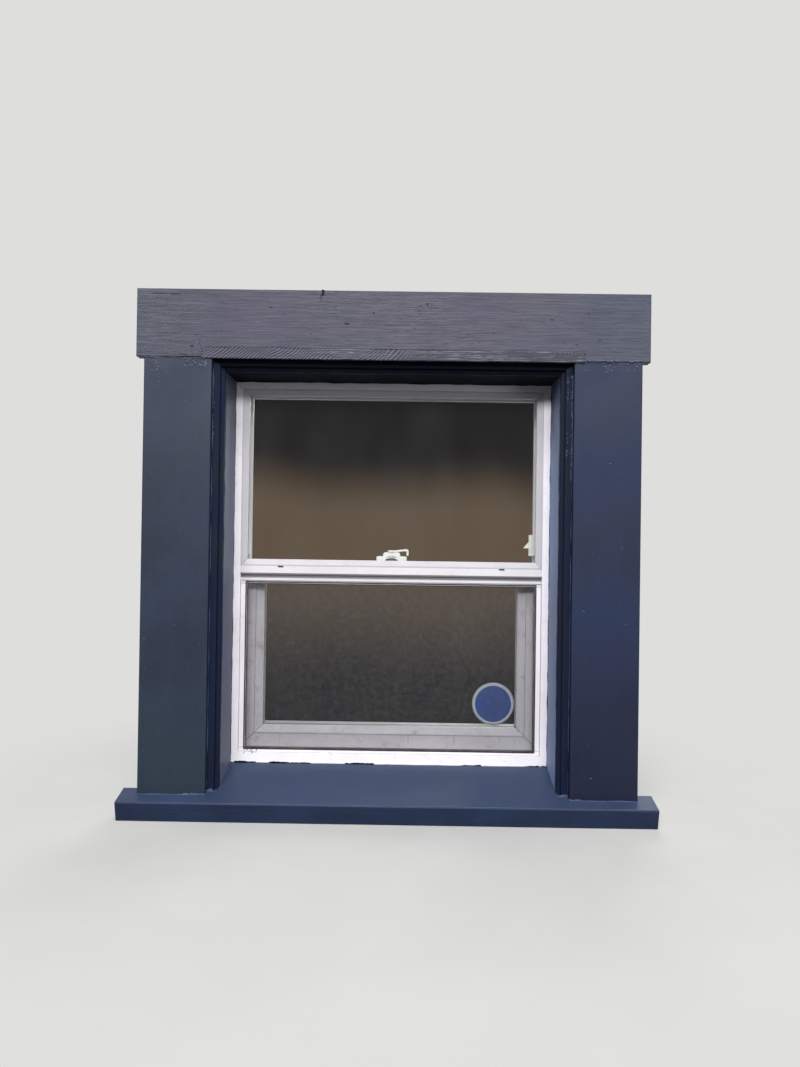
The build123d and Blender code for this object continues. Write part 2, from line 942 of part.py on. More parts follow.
save(mitred_side(-1, sash_bead_section, sash_bead_edges), "sash_bead_left")
save(mitred_side(1, sash_bead_section, sash_bead_edges), "sash_bead_right")
save(mitred_level(sash_bead_edges[2], -1, sash_bead_section, sash_bead_edges[0]), "sash_bead_head")
save(mitred_level(sash_bead_edges[1], 1, sash_bead_section, sash_bead_edges[0]), "sash_bead_foot")

sash_glass_half_width = sight_half_width + sash_glass_lap - glass_edge_gap
glass_unit(
    "sash", sash_glass_half_width, sight_bottom - sash_glass_lap + glass_edge_gap,
    sight_top + sash_glass_lap - glass_edge_gap, sash_glass_front,
)

# Seal under the bottom rail
seal_y = (sash_front + sash_back) / 2
with BuildPart() as sash_bottom_seal:
    add(
        block(
            (-seal_half_length, seal_half_length), (seal_y - seal_width / 2, seal_y + seal_width / 2),
            (sash_floor + seat_gap, sash_bottom),
        ).part
    )
save(sash_bottom_seal, "sash_bottom_seal")


# Balance channels, open outward, in the stiles' grooves
def balance_channel(side):
    with BuildPart() as piece:
        add(
            upright(
                [
                    (side * channel_outer, channel_front), (side * channel_inner, channel_front),
                    (side * channel_inner, channel_back), (side * channel_outer, channel_back),
                    (side * channel_outer, channel_back - channel_wall),
                    (side * (channel_inner + channel_wall), channel_back - channel_wall),
                    (side * (channel_inner + channel_wall), channel_front + channel_wall),
                    (side * channel_outer, channel_front + channel_wall),
                ],
                sash_bottom, channel_top,
            ).part
        )
    return piece


save(balance_channel(-1), "left_balance_channel")
save(balance_channel(1), "right_balance_channel")

channel_middle = (channel_inner + channel_wall + channel_outer) / 2
spring_y = channel_front + channel_wall + seat_gap + spring_radius
cord_y = channel_back - channel_wall - cord_channel_gap - cord_hole_radius
spring_bottom = sash_bottom + spring_above_sash_bottom

with BuildPart() as balance_springs:
    for side in (-1, 1):
        with BuildSketch(Plane.XY.offset(spring_bottom)):
            with Locations((side * channel_middle, spring_y)):
                Circle(spring_radius)
        extrude(amount=spring_length)
save(balance_springs, "balance_springs")

# Guide blocks in the tops of the channels, which the cords run through
guide_top = channel_top - guide_below_channel_top
guide_inner = channel_inner + channel_wall + press_gap
guide_outer = channel_outer - seat_gap

with BuildPart() as balance_guides:
    for side in (-1, 1):
        guide = block(
            (side * guide_inner, side * guide_outer),
            (channel_front + channel_wall + press_gap, channel_back - channel_wall - press_gap),
            (guide_top - guide_length, guide_top),
        )
        add(guide.part)
    with BuildSketch(Plane.XY.offset(guide_top - guide_length)):
        with Locations((-channel_middle, cord_y), (channel_middle, cord_y)):
            Circle(cord_hole_radius)
    extrude(amount=guide_length, mode=Mode.SUBTRACT)
save(balance_guides, "balance_guides")

# Cords hang straight from anchors on the frame's pockets into the channels
anchor_top = frame_top - anchor_below_head
anchor_bottom = anchor_top - anchor_height
anchor_outer = pocket_half_width - seat_gap
anchor_back = pocket_back - anchor_setback


def balance_cord(side):
    with BuildPart() as piece:
        with BuildSketch(Plane.XY.offset(cord_bottom)):
            with Locations((side * channel_middle, cord_y)):
                Circle(cord_radius)
        extrude(amount=anchor_bottom - cord_bottom)
    return piece


save(balance_cord(-1), "left_balance_cord")
save(balance_cord(1), "right_balance_cord")

with BuildPart() as balance_anchors:
    for side in (-1, 1):
        anchor = block(
            (side * (anchor_outer - anchor_width), side * anchor_outer),
            (anchor_back - anchor_length, anchor_back), (anchor_bottom, anchor_top),
        )
        add(anchor.part)
    fillet(balance_anchors.edges().filter_by(Axis.Y), radius=edge_radius)
save(balance_anchors, "balance_anchors")

# Take-out clip: a stem in the right channel, a body beside it and a hooked nib
clip_bottom = guide_top + seat_gap
clip_top = clip_bottom + clip_height
clip_outer = guide_outer - groove_gap
clip_body_outer = clip_outer - clip_stem_width
clip_body_inner = clip_body_outer - clip_body_width
clip_front = channel_front + clip_setback
nib_low = clip_bottom + clip_nib_underside
nib_inner = clip_body_inner - clip_nib_reach

with BuildPart() as take_out_clip:
    with BuildSketch(Plane.XZ.offset(-clip_front)) as clip_face:
        with BuildLine():
            Polyline(
                (clip_outer, clip_bottom), (clip_outer, clip_top), (clip_body_inner, clip_top),
                (clip_body_inner, nib_low + clip_nib_rise), (nib_inner, nib_low + clip_nib_tip),
                (nib_inner, nib_low), (clip_body_inner, nib_low),
                (clip_body_inner, clip_bottom + clip_body_rise),
                (clip_body_outer, clip_bottom + clip_body_rise), (clip_body_outer, clip_bottom),
                close=True,
            )
        make_face()
        fillet(clip_face.vertices().group_by(Axis.Y)[-1], radius=edge_radius)
    extrude(amount=-clip_thickness)
save(take_out_clip, "right_takeout_clip")

# Lock housing: two screw tabs and a domed middle, arched open in front over the cam
lock_front = sash_front + lock_front_setback
lock_tab_top = sash_top + lock_tab_height
lock_dome_top = sash_top + lock_dome_height
cavity_radius = cam_reach + cam_sweep_gap
cavity_top = sash_top + cavity_height
arch_radius = (lock_arch_half_width**2 + lock_arch_height**2) / (2 * lock_arch_height)

with BuildPart() as lock_housing:
    with BuildSketch(Plane.XZ.offset(-lock_front)) as lock_face:
        with Locations((0, sash_top)):
            Rectangle(2 * lock_half_length, lock_tab_height, align=(Align.CENTER, Align.MIN))
            Rectangle(2 * lock_dome_half_length, lock_dome_height, align=(Align.CENTER, Align.MIN))
        fillet(lock_face.vertices().group_by(Axis.Y)[-1], radius=lock_dome_radius)
        fillet(
            lock_face.vertices().filter_by_position(Axis.Y, lock_tab_top - seat_gap, lock_tab_top + seat_gap),
            radius=lock_tab_radius,
        )
    extrude(amount=-lock_depth)
    chamfer(lock_housing.edges().filter_by(Axis.Z), length=lock_corner_chamfer)
    with BuildSketch(Plane.XZ.offset(-lock_front)):
        with Locations((0, sash_top + lock_arch_height - arch_radius)):
            Circle(arch_radius)
    extrude(amount=-lock_arch_depth, mode=Mode.SUBTRACT)
    with BuildSketch(Plane.XY.offset(sash_top)):
        with Locations((0, spindle_y)):
            Circle(cavity_radius)
    extrude(amount=cavity_height, mode=Mode.SUBTRACT)
    with BuildSketch(Plane.XY.offset(sash_top)):
        with Locations((0, spindle_y)):
            Circle(spindle_radius + spindle_fit)
    extrude(amount=lock_dome_height, mode=Mode.SUBTRACT)
    with Locations(*lock_screw_planes()):
        CounterSinkHole(
            radius=screw_shank_radius + press_gap, counter_sink_radius=screw_head_radius + press_gap,
            depth=lock_screw_length, counter_sink_angle=90,
        )
save(lock_housing, "lock_housing")
lock_screws = screws(lock_screw_planes(), screw_head_radius, screw_shank_radius, lock_screw_length)
save(lock_screws, "lock_screws")

# Lever: a spindle with a square end, a hub on the dome, and an arm that turns down at its tip
hub_bottom = lock_dome_top + seat_gap
hub_top = hub_bottom + lever_hub_thickness
arm_bottom = hub_bottom + lever_underside_gap
tip_bottom = hub_top - lever_drop
arm_half_width = lever_width / 2
square_bottom = sash_top + cam_above_sash - square_below_cam
tip_inner = lever_reach - lever_tip_thickness

with BuildPart() as lever_arm:
    with BuildSketch(Plane.XZ.offset(-spindle_y - lever_width / 2)) as arm_side:
        with BuildLine():
            Polyline(
                (0, arm_bottom), (0, hub_top), (lever_hub_radius, hub_top),
                (lever_reach - lever_shoulder, hub_top + lever_rise),
                (lever_reach, hub_top + lever_rise - lever_crown),
                (lever_reach, tip_bottom), (tip_inner, tip_bottom), (tip_inner, hub_top - lever_web),
                (tip_inner - lever_web, hub_top - lever_web / 2),
                (lever_hub_radius + lever_crown, arm_bottom),
                close=True,
            )
        make_face()
        fillet(arm_side.vertices().group_by(Axis.X)[-1].sort_by(Axis.Y)[-1], radius=lever_knee_radius)
        fillet(arm_side.vertices().group_by(Axis.Y)[0], radius=lever_tip_radius)
    extrude(amount=lever_width)
    with BuildSketch(Plane.XY.offset(tip_bottom)):
        with BuildLine():
            Polyline(
                (0, spindle_y - lever_root_half_width),
                (lever_reach - lever_corner_length, spindle_y - arm_half_width),
                (lever_reach, spindle_y - arm_half_width + lever_corner_width),
                (lever_reach, spindle_y + arm_half_width - lever_corner_width),
                (lever_reach - lever_corner_length, spindle_y + arm_half_width),
                (0, spindle_y + lever_root_half_width),
                close=True,
            )
        make_face()
    extrude(amount=lever_drop + lever_rise, mode=Mode.INTERSECT)

with BuildPart() as lock_lever:
    with BuildSketch(Plane.XY.offset(hub_bottom)):
        with Locations((0, spindle_y)):
            Circle(lever_hub_radius)
    extrude(amount=lever_hub_thickness)
    chamfer(lock_lever.edges().filter_by(GeomType.CIRCLE).sort_by(Axis.Z)[-1], length=lever_hub_chamfer)
    add(lever_arm.part)
    with BuildSketch(Plane.XY.offset(cavity_top)):
        with Locations((0, spindle_y)):
            Circle(spindle_radius)
    extrude(amount=hub_bottom - cavity_top)
    with BuildSketch(Plane.XY.offset(square_bottom)):
        with Locations((0, spindle_y)):
            Rectangle(square_side, square_side)
    extrude(amount=cavity_top - square_bottom)
save(lock_lever, "lock_lever")

# Cam on the spindle's square. Unlocked, its lobe points indoors
cam_bottom = sash_top + cam_above_sash

with BuildPart() as lock_cam:
    with BuildSketch(Plane.XY.offset(cam_bottom)):
        with Locations((0, spindle_y)):
            Circle(cam_hub_radius)
        with Locations((0, spindle_y + cam_lobe_offset)):
            Circle(cam_lobe_radius)
        with Locations((0, spindle_y)):
            Rectangle(square_side + square_fit, square_side + square_fit, mode=Mode.SUBTRACT)
    extrude(amount=cam_thickness)
save(lock_cam, "lock_cam")

# Half screen: roll-formed bars with a spline groove, plastic corners, the spline and the mesh
screen_half_width = face_inner - screen_side_gap
screen_bottom = track_floor + seat_gap
groove_end = groove_start + groove_width
bar_section = [
    (0, 0), (groove_start, 0), (groove_start, groove_floor), (groove_end, groove_floor),
    (groove_end, lip_setback), (screen_bar_width, lip_setback), (screen_bar_width, screen_thickness),
    (0, screen_thickness),
]
bar_end = screen_half_width - screen_bar_width


def screen_side_bar(side):
    return upright(
        [(side * (screen_half_width - inward), screen_front + depth) for inward, depth in bar_section],
        screen_bottom + screen_bar_width, screen_top - screen_bar_width,
    )


def screen_level_bar(edge, inward_sign):
    section = [(screen_front + depth, edge + inward_sign * inward) for inward, depth in bar_section]
    return level(section, bar_end)


save(screen_side_bar(-1), "screen_left_bar")
save(screen_side_bar(1), "screen_right_bar")
save(screen_level_bar(screen_top, -1), "screen_top_bar")
save(screen_level_bar(screen_bottom, 1), "screen_bottom_bar")

# Each corner block carries the groove round the turn, with a post that ends the two lips
with BuildPart() as screen_corners:
    for side in (-1, 1):
        for edge, inward_sign in ((screen_bottom, 1), (screen_top, -1)):
            x_at = lambda inward: side * (screen_half_width - inward)
            z_at = lambda inward: edge + inward_sign * inward
            for start, end, mode in (
                (0, screen_bar_width, Mode.ADD),
                (groove_start, screen_bar_width, Mode.SUBTRACT),
            ):
                depth = screen_thickness if mode is Mode.ADD else groove_floor
                corner = block(
                    (x_at(start), x_at(end)), (screen_front, screen_front + depth),
                    sorted((z_at(start), z_at(end))),
                )
                add(corner.part, mode=mode)
            post = block(
                (x_at(groove_end), x_at(screen_bar_width)),
                (screen_front + lip_setback, screen_front + groove_floor),
                sorted((z_at(groove_end), z_at(screen_bar_width))),
            )
            add(post.part)
            corner_hole = Plane(
                origin=(x_at(corner_hole_inset), screen_front, z_at(corner_hole_inset)), z_dir=(0, -1, 0)
            )
            with Locations(corner_hole):
                Hole(corner_hole_radius, depth=screen_thickness)
save(screen_corners, "screen_corners")

screen_middle = (screen_bottom + screen_top) / 2
screen_height = screen_top - screen_bottom
with BuildPart() as screen_spline:
    with BuildSketch(Plane.XZ.offset(-screen_front - mesh_thickness)):
        with Locations((0, screen_middle)):
            RectangleRounded(
                2 * (screen_half_width - groove_start - press_gap),
                screen_height - 2 * (groove_start + press_gap), groove_width,
            )
            Rectangle(
                2 * (screen_half_width - groove_end + press_gap),
                screen_height - 2 * (groove_end - press_gap), mode=Mode.SUBTRACT,
            )
    extrude(amount=-(groove_floor - mesh_thickness - press_gap))
save(screen_spline, "screen_spline")

mesh_inset = groove_end
with BuildPart() as screen_mesh:
    add(
        sheet(
            screen_half_width - mesh_inset, screen_bottom + mesh_inset, screen_top - mesh_inset,
            screen_front + lip_setback - mesh_thickness, mesh_thickness,
        ).part
    )
save(screen_mesh, "screen_mesh")
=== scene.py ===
import math

import bpy
import numpy as np
from mathutils import Matrix, Vector


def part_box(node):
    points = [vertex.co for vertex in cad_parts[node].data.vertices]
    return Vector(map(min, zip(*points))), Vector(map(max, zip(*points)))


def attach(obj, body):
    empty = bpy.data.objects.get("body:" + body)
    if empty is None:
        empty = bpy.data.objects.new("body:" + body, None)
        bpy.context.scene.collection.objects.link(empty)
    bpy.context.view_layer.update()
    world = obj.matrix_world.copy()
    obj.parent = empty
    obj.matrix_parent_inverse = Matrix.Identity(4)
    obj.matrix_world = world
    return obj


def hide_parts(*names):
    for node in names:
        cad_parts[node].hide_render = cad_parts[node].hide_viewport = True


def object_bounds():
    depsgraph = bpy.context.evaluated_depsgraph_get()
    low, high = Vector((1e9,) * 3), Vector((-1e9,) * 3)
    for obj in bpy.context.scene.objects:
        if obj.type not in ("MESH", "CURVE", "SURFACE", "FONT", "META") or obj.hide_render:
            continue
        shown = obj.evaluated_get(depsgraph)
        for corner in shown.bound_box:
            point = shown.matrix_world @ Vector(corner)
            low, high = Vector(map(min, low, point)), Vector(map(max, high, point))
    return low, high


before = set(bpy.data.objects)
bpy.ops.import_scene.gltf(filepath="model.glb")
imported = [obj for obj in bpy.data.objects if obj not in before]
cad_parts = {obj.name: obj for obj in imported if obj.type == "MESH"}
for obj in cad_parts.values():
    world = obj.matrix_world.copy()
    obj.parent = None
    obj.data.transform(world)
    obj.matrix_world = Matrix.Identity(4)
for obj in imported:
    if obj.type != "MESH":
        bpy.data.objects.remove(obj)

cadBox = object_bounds()
finishes = {}  # every material made here, by its name
noiseRange = (0.3, 0.7)  # where nearly all of a noise's values lie
seedShift = {"grains": (1.0, 0.7, 1.3), "dots": (1.0, 1.9, 0.6)}  # a pattern's move for each 1 of seed
print("window loaded with", len(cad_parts), "nodes")


# Colours are written as they look on a screen, 0 to 255, and turned linear here
def colour(red, green, blue):
    def linear(value):
        share = value / 255
        return share / 12.92 if share <= 0.04045 else ((share + 0.055) / 1.055) ** 2.4
    return (linear(red), linear(green), linear(blue), 1.0)


# Puts a value into a socket, or links another node's socket to it
def feed(tree, socket, value):
    if isinstance(value, bpy.types.NodeSocket):
        tree.links.new(value, socket)
    else:
        socket.default_value = value


def addNode(tree, kind, sockets=None, **settings):
    node = tree.nodes.new(kind)
    for name, value in settings.items():
        setattr(node, name, value)
    for name, value in (sockets or {}).items():
        feed(tree, node.inputs[name], value)
    return node


def newMaterial(name):
    material = bpy.data.materials.new(name)
    material.use_nodes = True
    material.node_tree.nodes.clear()
    finishes[name] = material
    return material.node_tree


# Object coordinates times a scale, plus an offset
def objectPlace(tree, scale=(1, 1, 1), offset=(0, 0, 0)):
    place = addNode(tree, "ShaderNodeTexCoord")
    mapped = addNode(tree, "ShaderNodeMapping", {
        "Vector": place.outputs["Object"], "Scale": scale, "Location": offset,
    })
    return mapped.outputs["Vector"]


# Noise whose grains measure sizes metres along X, Y and Z
def grains(tree, sizes, seed=0.0, detail=4.0, roughness=0.55, distortion=0.0):
    place = objectPlace(tree, [1 / size for size in sizes], [seed * share for share in seedShift["grains"]])
    return addNode(tree, "ShaderNodeTexNoise", {
        "Vector": place, "Scale": 1.0, "Detail": detail, "Roughness": roughness, "Distortion": distortion,
    }).outputs["Fac"]


# One dot in each cell of the given sizes, 1 within 0.3 of its radius and 0 from the radius on, in cells
def dots(tree, sizes, radius, seed=0.0):
    place = objectPlace(tree, [1 / size for size in sizes], [seed * share for share in seedShift["dots"]])
    cells = addNode(tree, "ShaderNodeTexVoronoi", {"Vector": place, "Scale": 1.0}).outputs["Distance"]
    return remap(tree, cells, radius, radius * 0.3)


# Smoothly from toLow to toHigh as the value goes from low to high
def remap(tree, value, low, high, toLow=0.0, toHigh=1.0):
    return addNode(tree, "ShaderNodeMapRange", {
        "Value": value, "From Min": low, "From Max": high, "To Min": toLow, "To Max": toHigh,
    }, interpolation_type="SMOOTHSTEP").outputs["Result"]


def maths(tree, operation, first, second=0.0):
    node = addNode(tree, "ShaderNodeMath", operation=operation)
    feed(tree, node.inputs[0], first)
    feed(tree, node.inputs[1], second)
    return node.outputs[0]


# How far a value is from a middle, either way
def awayFrom(tree, value, middle):
    return maths(tree, "ABSOLUTE", maths(tree, "SUBTRACT", value, middle))


# One axis of a vector, such as a place or the surface's normal
def axisPart(tree, vector, axis):
    return addNode(tree, "ShaderNodeSeparateXYZ", {"Vector": vector}).outputs[axis]


# The Mix node's colours go in at sockets 6 and 7, and come out at socket 2
def mixColour(tree, factor, first, second):
    node = addNode(tree, "ShaderNodeMix", data_type="RGBA")
    for index, value in ((0, factor), (6, first), (7, second)):
        feed(tree, node.inputs[index], value)
    return node.outputs[2]


# A tone laid over a body colour by a share of a mask
def toned(tree, body, tone, mask, share):
    return mixColour(tree, maths(tree, "MULTIPLY", mask, share), body, tone)


def bump(tree, height, distance, under=None):
    sockets = {"Height": height, "Distance": distance, "Strength": 1.0}
    if under is not None:
        sockets["Normal"] = under
    return addNode(tree, "ShaderNodeBump", sockets).outputs["Normal"]


def surfaceNormal(tree):
    return addNode(tree, "ShaderNodeNewGeometry").outputs["Normal"]


def mixShader(tree, factor, first, second):
    return addNode(tree, "ShaderNodeMixShader", {0: factor, 1: first.outputs[0], 2: second.outputs[0]})


def output(tree, shader):
    addNode(tree, "ShaderNodeOutputMaterial", {"Surface": shader.outputs[0]})


def principled(tree, sockets):
    output(tree, addNode(tree, "ShaderNodeBsdfPrincipled", sockets))


def dress(finish, nodes):
    for name in nodes:
        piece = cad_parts[name]
        piece.data.materials.clear()
        piece.data.materials.append(finishes[finish])


# Painted boards: wavy crests of grain run along the board, paler as painted highlights, with brush lines,
# nibs, and dents and cracks darkened with painted shade
boardPaint = {
    "grainWidth": 0.0026, "grainLength": 0.085,
    "crestWidth": 0.055, "crestHeight": 0.00022, "crestHighlight": 0.45,
    "brushWidth": 0.0011, "brushLength": 0.09, "brushDepth": 0.0001, "brushEdges": (0.42, 0.75),
    "brushLeast": 0.2, "fadeSize": 0.16, "fadeEdges": (0.36, 0.66),
    "lumpSize": 0.012, "lumpDepth": 0.0005, "lumpLeast": 0.4,
    "nibSpacing": 0.034, "nibSize": 0.04, "nibHeight": 0.0008, "nibDust": 0.5,
    "dentSpacing": 0.11, "dentLength": 0.165, "dentSize": 0.06, "dentDepth": 0.0016, "dentShade": 0.7,
    "crackWidth": 0.0014, "crackLength": 0.035, "crackEdges": (0.76, 0.81), "crackByWear": 0.03,
    "crackShade": 0.6, "ovalShade": 0.92, "hollowShadeTone": (0.003, 0.003, 0.004, 1.0),
    "endBefore": 0.14, "endPast": 0.1, "endSway": 0.4, "upwardEdges": (0.6, 0.95), "ridgeHighlight": 0.65,
    "roughness": 0.5, "glossSpread": (-0.06, 0.14), "specular": 0.3,
}


# A hollow at X and Z places, in an oval of the given half length and half height: 1 in its inner half
def ovalHollow(tree, x, z, halfLength, halfHeight):
    size = (1 / halfLength, 0, 1 / halfHeight)
    place = objectPlace(tree, size, (-x / halfLength, 0, -z / halfHeight))
    reach = addNode(tree, "ShaderNodeVectorMath", {0: place}, operation="LENGTH").outputs["Value"]
    return remap(tree, reach, 1.0, 0.5)


# Tones are the deep, faded and dusty paint; the dusty tone also paints highlights. A piece whose points carry
# a ridge attribute is paler where that is high, a painted highlight, and crests of grain are paler too as
# painted highlights. Dents, cracks and hollows take a near-black tone of painted shade. Hollows are ovals at
# places of their own, each of the ends has a tone mixed in past a reach along an axis from a middle, faces
# that look up take dust and painted light from above, and a flat paint has less gloss
def paintedBoard(
    name, tones, nodes=(), along="X", grain=1.0, dust=0.2, wear=0.0, seed=0.0, ridged=False, ovals=(),
    ends=(), topDustAndLight=0.0, flat=0.0,
):
    tree = newMaterial(name)
    look = boardPaint
    deep, faded, dustAndHighlight = (colour(*tone) for tone in tones)
    hollowShadeTone = look["hollowShadeTone"]

    def running(width, length):
        return [length if letter == along else width for letter in "XYZ"]

    def even(size):
        return [size] * 3

    wood = running(look["grainWidth"], look["grainLength"])
    wood = grains(tree, wood, seed, detail=2.0, roughness=0.5, distortion=0.8)
    crests = remap(tree, awayFrom(tree, wood, 0.5), look["crestWidth"], 0.0)
    brush = grains(tree, running(look["brushWidth"], look["brushLength"]), seed + 3, detail=3.0)
    fade = grains(tree, even(look["fadeSize"]), seed + 5, detail=5.0, roughness=0.6)
    lumps = grains(tree, even(look["lumpSize"]), seed + 7, detail=3.0)
    nibs = dots(tree, even(look["nibSpacing"]), look["nibSize"], seed)
    dents = dots(tree, running(look["dentSpacing"], look["dentLength"]), look["dentSize"], seed + 2)
    cracks = grains(tree, running(look["crackWidth"], look["crackLength"]), seed + 9, detail=2.0)
    cracks = remap(tree, cracks, *(edge - look["crackByWear"] * wear for edge in look["crackEdges"]))
    body = mixColour(tree, remap(tree, fade, *look["fadeEdges"]), deep, faded)
    for tone, axis, middle, reach in ends:
        away = awayFrom(tree, axisPart(tree, objectPlace(tree), axis), middle)
        sway = maths(tree, "MULTIPLY", maths(tree, "SUBTRACT", fade, 0.5), look["endSway"])
        away = maths(tree, "ADD", away, sway)
        past = remap(tree, away, reach - look["endBefore"], reach + look["endPast"])
        body = mixColour(tree, past, body, colour(*tone))
    body = mixColour(tree, remap(tree, brush, *look["brushEdges"], 0.0, dust), body, dustAndHighlight)
    body = toned(tree, body, dustAndHighlight, crests, look["crestHighlight"] * dust * grain)
    body = toned(tree, body, dustAndHighlight, nibs, look["nibDust"])
    if topDustAndLight:
        upward = axisPart(tree, surfaceNormal(tree), "Z")
        body = mixColour(tree, remap(tree, upward, *look["upwardEdges"], 0.0, topDustAndLight), body, dustAndHighlight)
    if ridged:
        ridge = addNode(tree, "ShaderNodeAttribute", attribute_name="ridge").outputs["Fac"]
        body = toned(tree, body, dustAndHighlight, ridge, look["ridgeHighlight"])
    body = toned(tree, body, hollowShadeTone, dents, look["dentShade"] * wear)
    body = toned(tree, body, hollowShadeTone, cracks, look["crackShade"] * wear)
    normal = bump(tree, crests, look["crestHeight"] * grain)
    normal = bump(tree, brush, look["brushDepth"] * min(1.0, look["brushLeast"] + grain), normal)
    normal = bump(tree, lumps, look["lumpDepth"] * (look["lumpLeast"] + wear), normal)
    normal = bump(tree, nibs, look["nibHeight"], normal)
    hollows = maths(tree, "MULTIPLY", maths(tree, "MAXIMUM", dents, cracks), wear)
    for oval in ovals:
        hollow = ovalHollow(tree, *oval)
        hollows = maths(tree, "MAXIMUM", hollows, hollow)
        body = toned(tree, body, hollowShadeTone, hollow, look["ovalShade"])
    normal = bump(tree, maths(tree, "MULTIPLY", hollows, -1.0), look["dentDepth"], normal)
    least, most = (look["roughness"] + spread + flat for spread in look["glossSpread"])
    principled(tree, {
        "Base Color": body, "Roughness": remap(tree, fade, *noiseRange, least, most), "Normal": normal,
        "Specular IOR Level": look["specular"] * (1 - 2 * flat),
    })
    dress(name, nodes)


# Dents in the head casing: X, Z, half length and half height of each
headDents = (
    (-0.0942, 0.509, 0.0068, 0.0022), (-0.2487, 0.5415, 0.004, 0.0014), (-0.0399, 0.532, 0.0024, 0.0018),
    (-0.1475, 0.562, 0.0009, 0.0085),
    (-0.475, 0.5665, 0.02, 0.0009), (-0.443, 0.5655, 0.012, 0.0008), (0.3202, 0.5224, 0.0035, 0.0012),
    (0.3947, 0.5355, 0.003, 0.0012), (0.4176, 0.4811, 0.0035, 0.0011), (0.3713, 0.4724, 0.003, 0.0011),
    (0.2034, 0.4945, 0.0022, 0.0012), (0.068, 0.551, 0.0018, 0.003), (-0.4076, 0.4595, 0.0045, 0.002),
)
boardPaints = {
    "headPaint": {
        "tones": ((61, 60, 74), (72, 70, 85), (122, 120, 136)), "nodes": ["head_casing"],
        "along": "X", "grain": 0.95, "dust": 0.3, "wear": 0.35, "seed": 3.1, "ovals": headDents,
        "ends": [((61, 66, 82), "X", -0.04, 0.44)],
    },
    "stripPaint": {
        "tones": ((32, 34, 46), (44, 46, 59), (136, 137, 152)),
        "along": "X", "grain": 0.3, "dust": 0.12, "seed": 7.7, "ridged": True,
    },
    "leftPaint": {
        "tones": ((23, 33, 51), (31, 43, 64), (82, 92, 114)), "nodes": ["left_casing"],
        "along": "Z", "grain": 0.12, "dust": 0.05, "wear": 0.1, "seed": 1.9,
        "ends": [((38, 47, 65), "Z", -0.43, 0.76), ((30, 43, 57), "Z", 0.55, 0.86)],
    },
    # The right casing's darker foot is painted shade
    "rightPaint": {
        "tones": ((8, 20, 48), (15, 31, 63), (72, 84, 112)), "nodes": ["right_casing"],
        "along": "Z", "grain": 0.12, "dust": 0.05, "wear": 0.1, "seed": 4.4,
        "ends": [((20, 33, 61), "Z", -0.43, 0.74), ((3, 14, 42), "Z", 0.5, 0.74)],
    },
    "trimPaint": {
        "tones": ((4, 14, 34), (8, 22, 48), (46, 64, 96)),
        "nodes": ["left_stop_moulding", "right_stop_moulding"],
        "along": "Z", "grain": 0.4, "dust": 0.07, "wear": 0.1, "seed": 5.3, "flat": 0.18,
    },
    # Near black: painted shade on the head jamb and the head stop moulding under the head casing, and in the
    # gaps at the vinyl's foot
    "shadePaint": {
        "tones": ((2, 5, 14), (6, 10, 22), (36, 44, 64)), "nodes": ["head_jamb", "head_stop_moulding"],
        "along": "X", "grain": 0.4, "dust": 0.06, "wear": 0.1, "seed": 2.7, "flat": 0.35,
    },
    # The jambs' tones are paler than the casings' as painted light on their sideways faces, the right jamb's
    # paler and bluer still; each jamb's darker top is painted shade
    "leftJambLightAndShade": {
        "tones": ((98, 102, 125), (118, 122, 147), (154, 162, 186)), "nodes": ["left_jamb"],
        "along": "Z", "grain": 0.3, "dust": 0.12, "wear": 0.1, "seed": 6.6,
        "ends": [((46, 50, 64), "Z", -0.42, 0.8)],
    },
    "rightJambLightAndShade": {
        "tones": ((126, 144, 188), (148, 166, 210), (176, 188, 220)), "nodes": ["right_jamb"],
        "along": "Z", "grain": 0.3, "dust": 0.12, "wear": 0.1, "seed": 3.6,
        "ends": [((50, 56, 74), "Z", -0.42, 0.8)],
    },
    # The sill's faces that look up take dust and painted light from above
    "sillPaint": {
        "tones": ((17, 31, 58), (27, 43, 72), (88, 104, 138)), "nodes": ["sill"],
        "along": "X", "grain": 0.2, "dust": 0.1, "wear": 0.1, "seed": 9.4, "topDustAndLight": 0.28,
    },
    "beadPaint": {
        "tones": ((30, 41, 72), (44, 56, 90), (112, 122, 152)),
        "along": "Y", "grain": 0.5, "dust": 0.3, "wear": 0.1, "seed": 4.2,
    },
    # Pale paint for beads along edges, which stand for painted highlights as well as paint
    "edgePaint": {
        "tones": ((48, 60, 92), (70, 84, 120), (124, 138, 172)),
        "along": "Z", "grain": 0.5, "dust": 0.25, "seed": 5.9,
    },
    # Pale paint for flecks, and for painted highlights on lumps and edges
    "fleckPaint": {
        "tones": ((66, 72, 92), (86, 92, 112), (140, 146, 162)),
        "along": "Y", "grain": 0.5, "dust": 0.3, "seed": 8.8,
    },
    "insidePaint": {
        "tones": ((214, 212, 204), (226, 224, 216), (236, 235, 230)),
        "nodes": ["left_inside_stop", "right_inside_stop", "head_inside_stop"],
        "along": "Z", "grain": 0.5, "dust": 0.3, "seed": 2.2,
    },
}
for paintName, paintLook in boardPaints.items():
    paintedBoard(paintName, **paintLook)
print("wood surround painted")

# White vinyl: even and smooth, with grime that settles in specks, short runs and along the seams
vinylLook = {
    "roughness": 0.43, "glossSpread": (-0.04, 0.12), "shadeSize": 0.12, "shadeDirt": 0.12,
    "dirtSize": 0.03, "dirtEdges": (0.52, 0.82), "dirtHeight": 0.00015,
    "speckSize": 0.0024, "speckEdges": (0.7, 0.76), "speckGround": (0.4, 0.6), "speckDirt": 2.0,
    "runWidth": 0.0035, "runLength": 0.05, "runEdges": (0.66, 0.74),
    "seamWidth": 0.0006, "seamDepth": 0.0004, "seamTone": (96, 92, 92), "seamShade": 0.75,
    "bandHead": 0.0006, "bandFoot": (-0.0012, 0.0035), "bandFacing": (-0.2, -0.6),
}


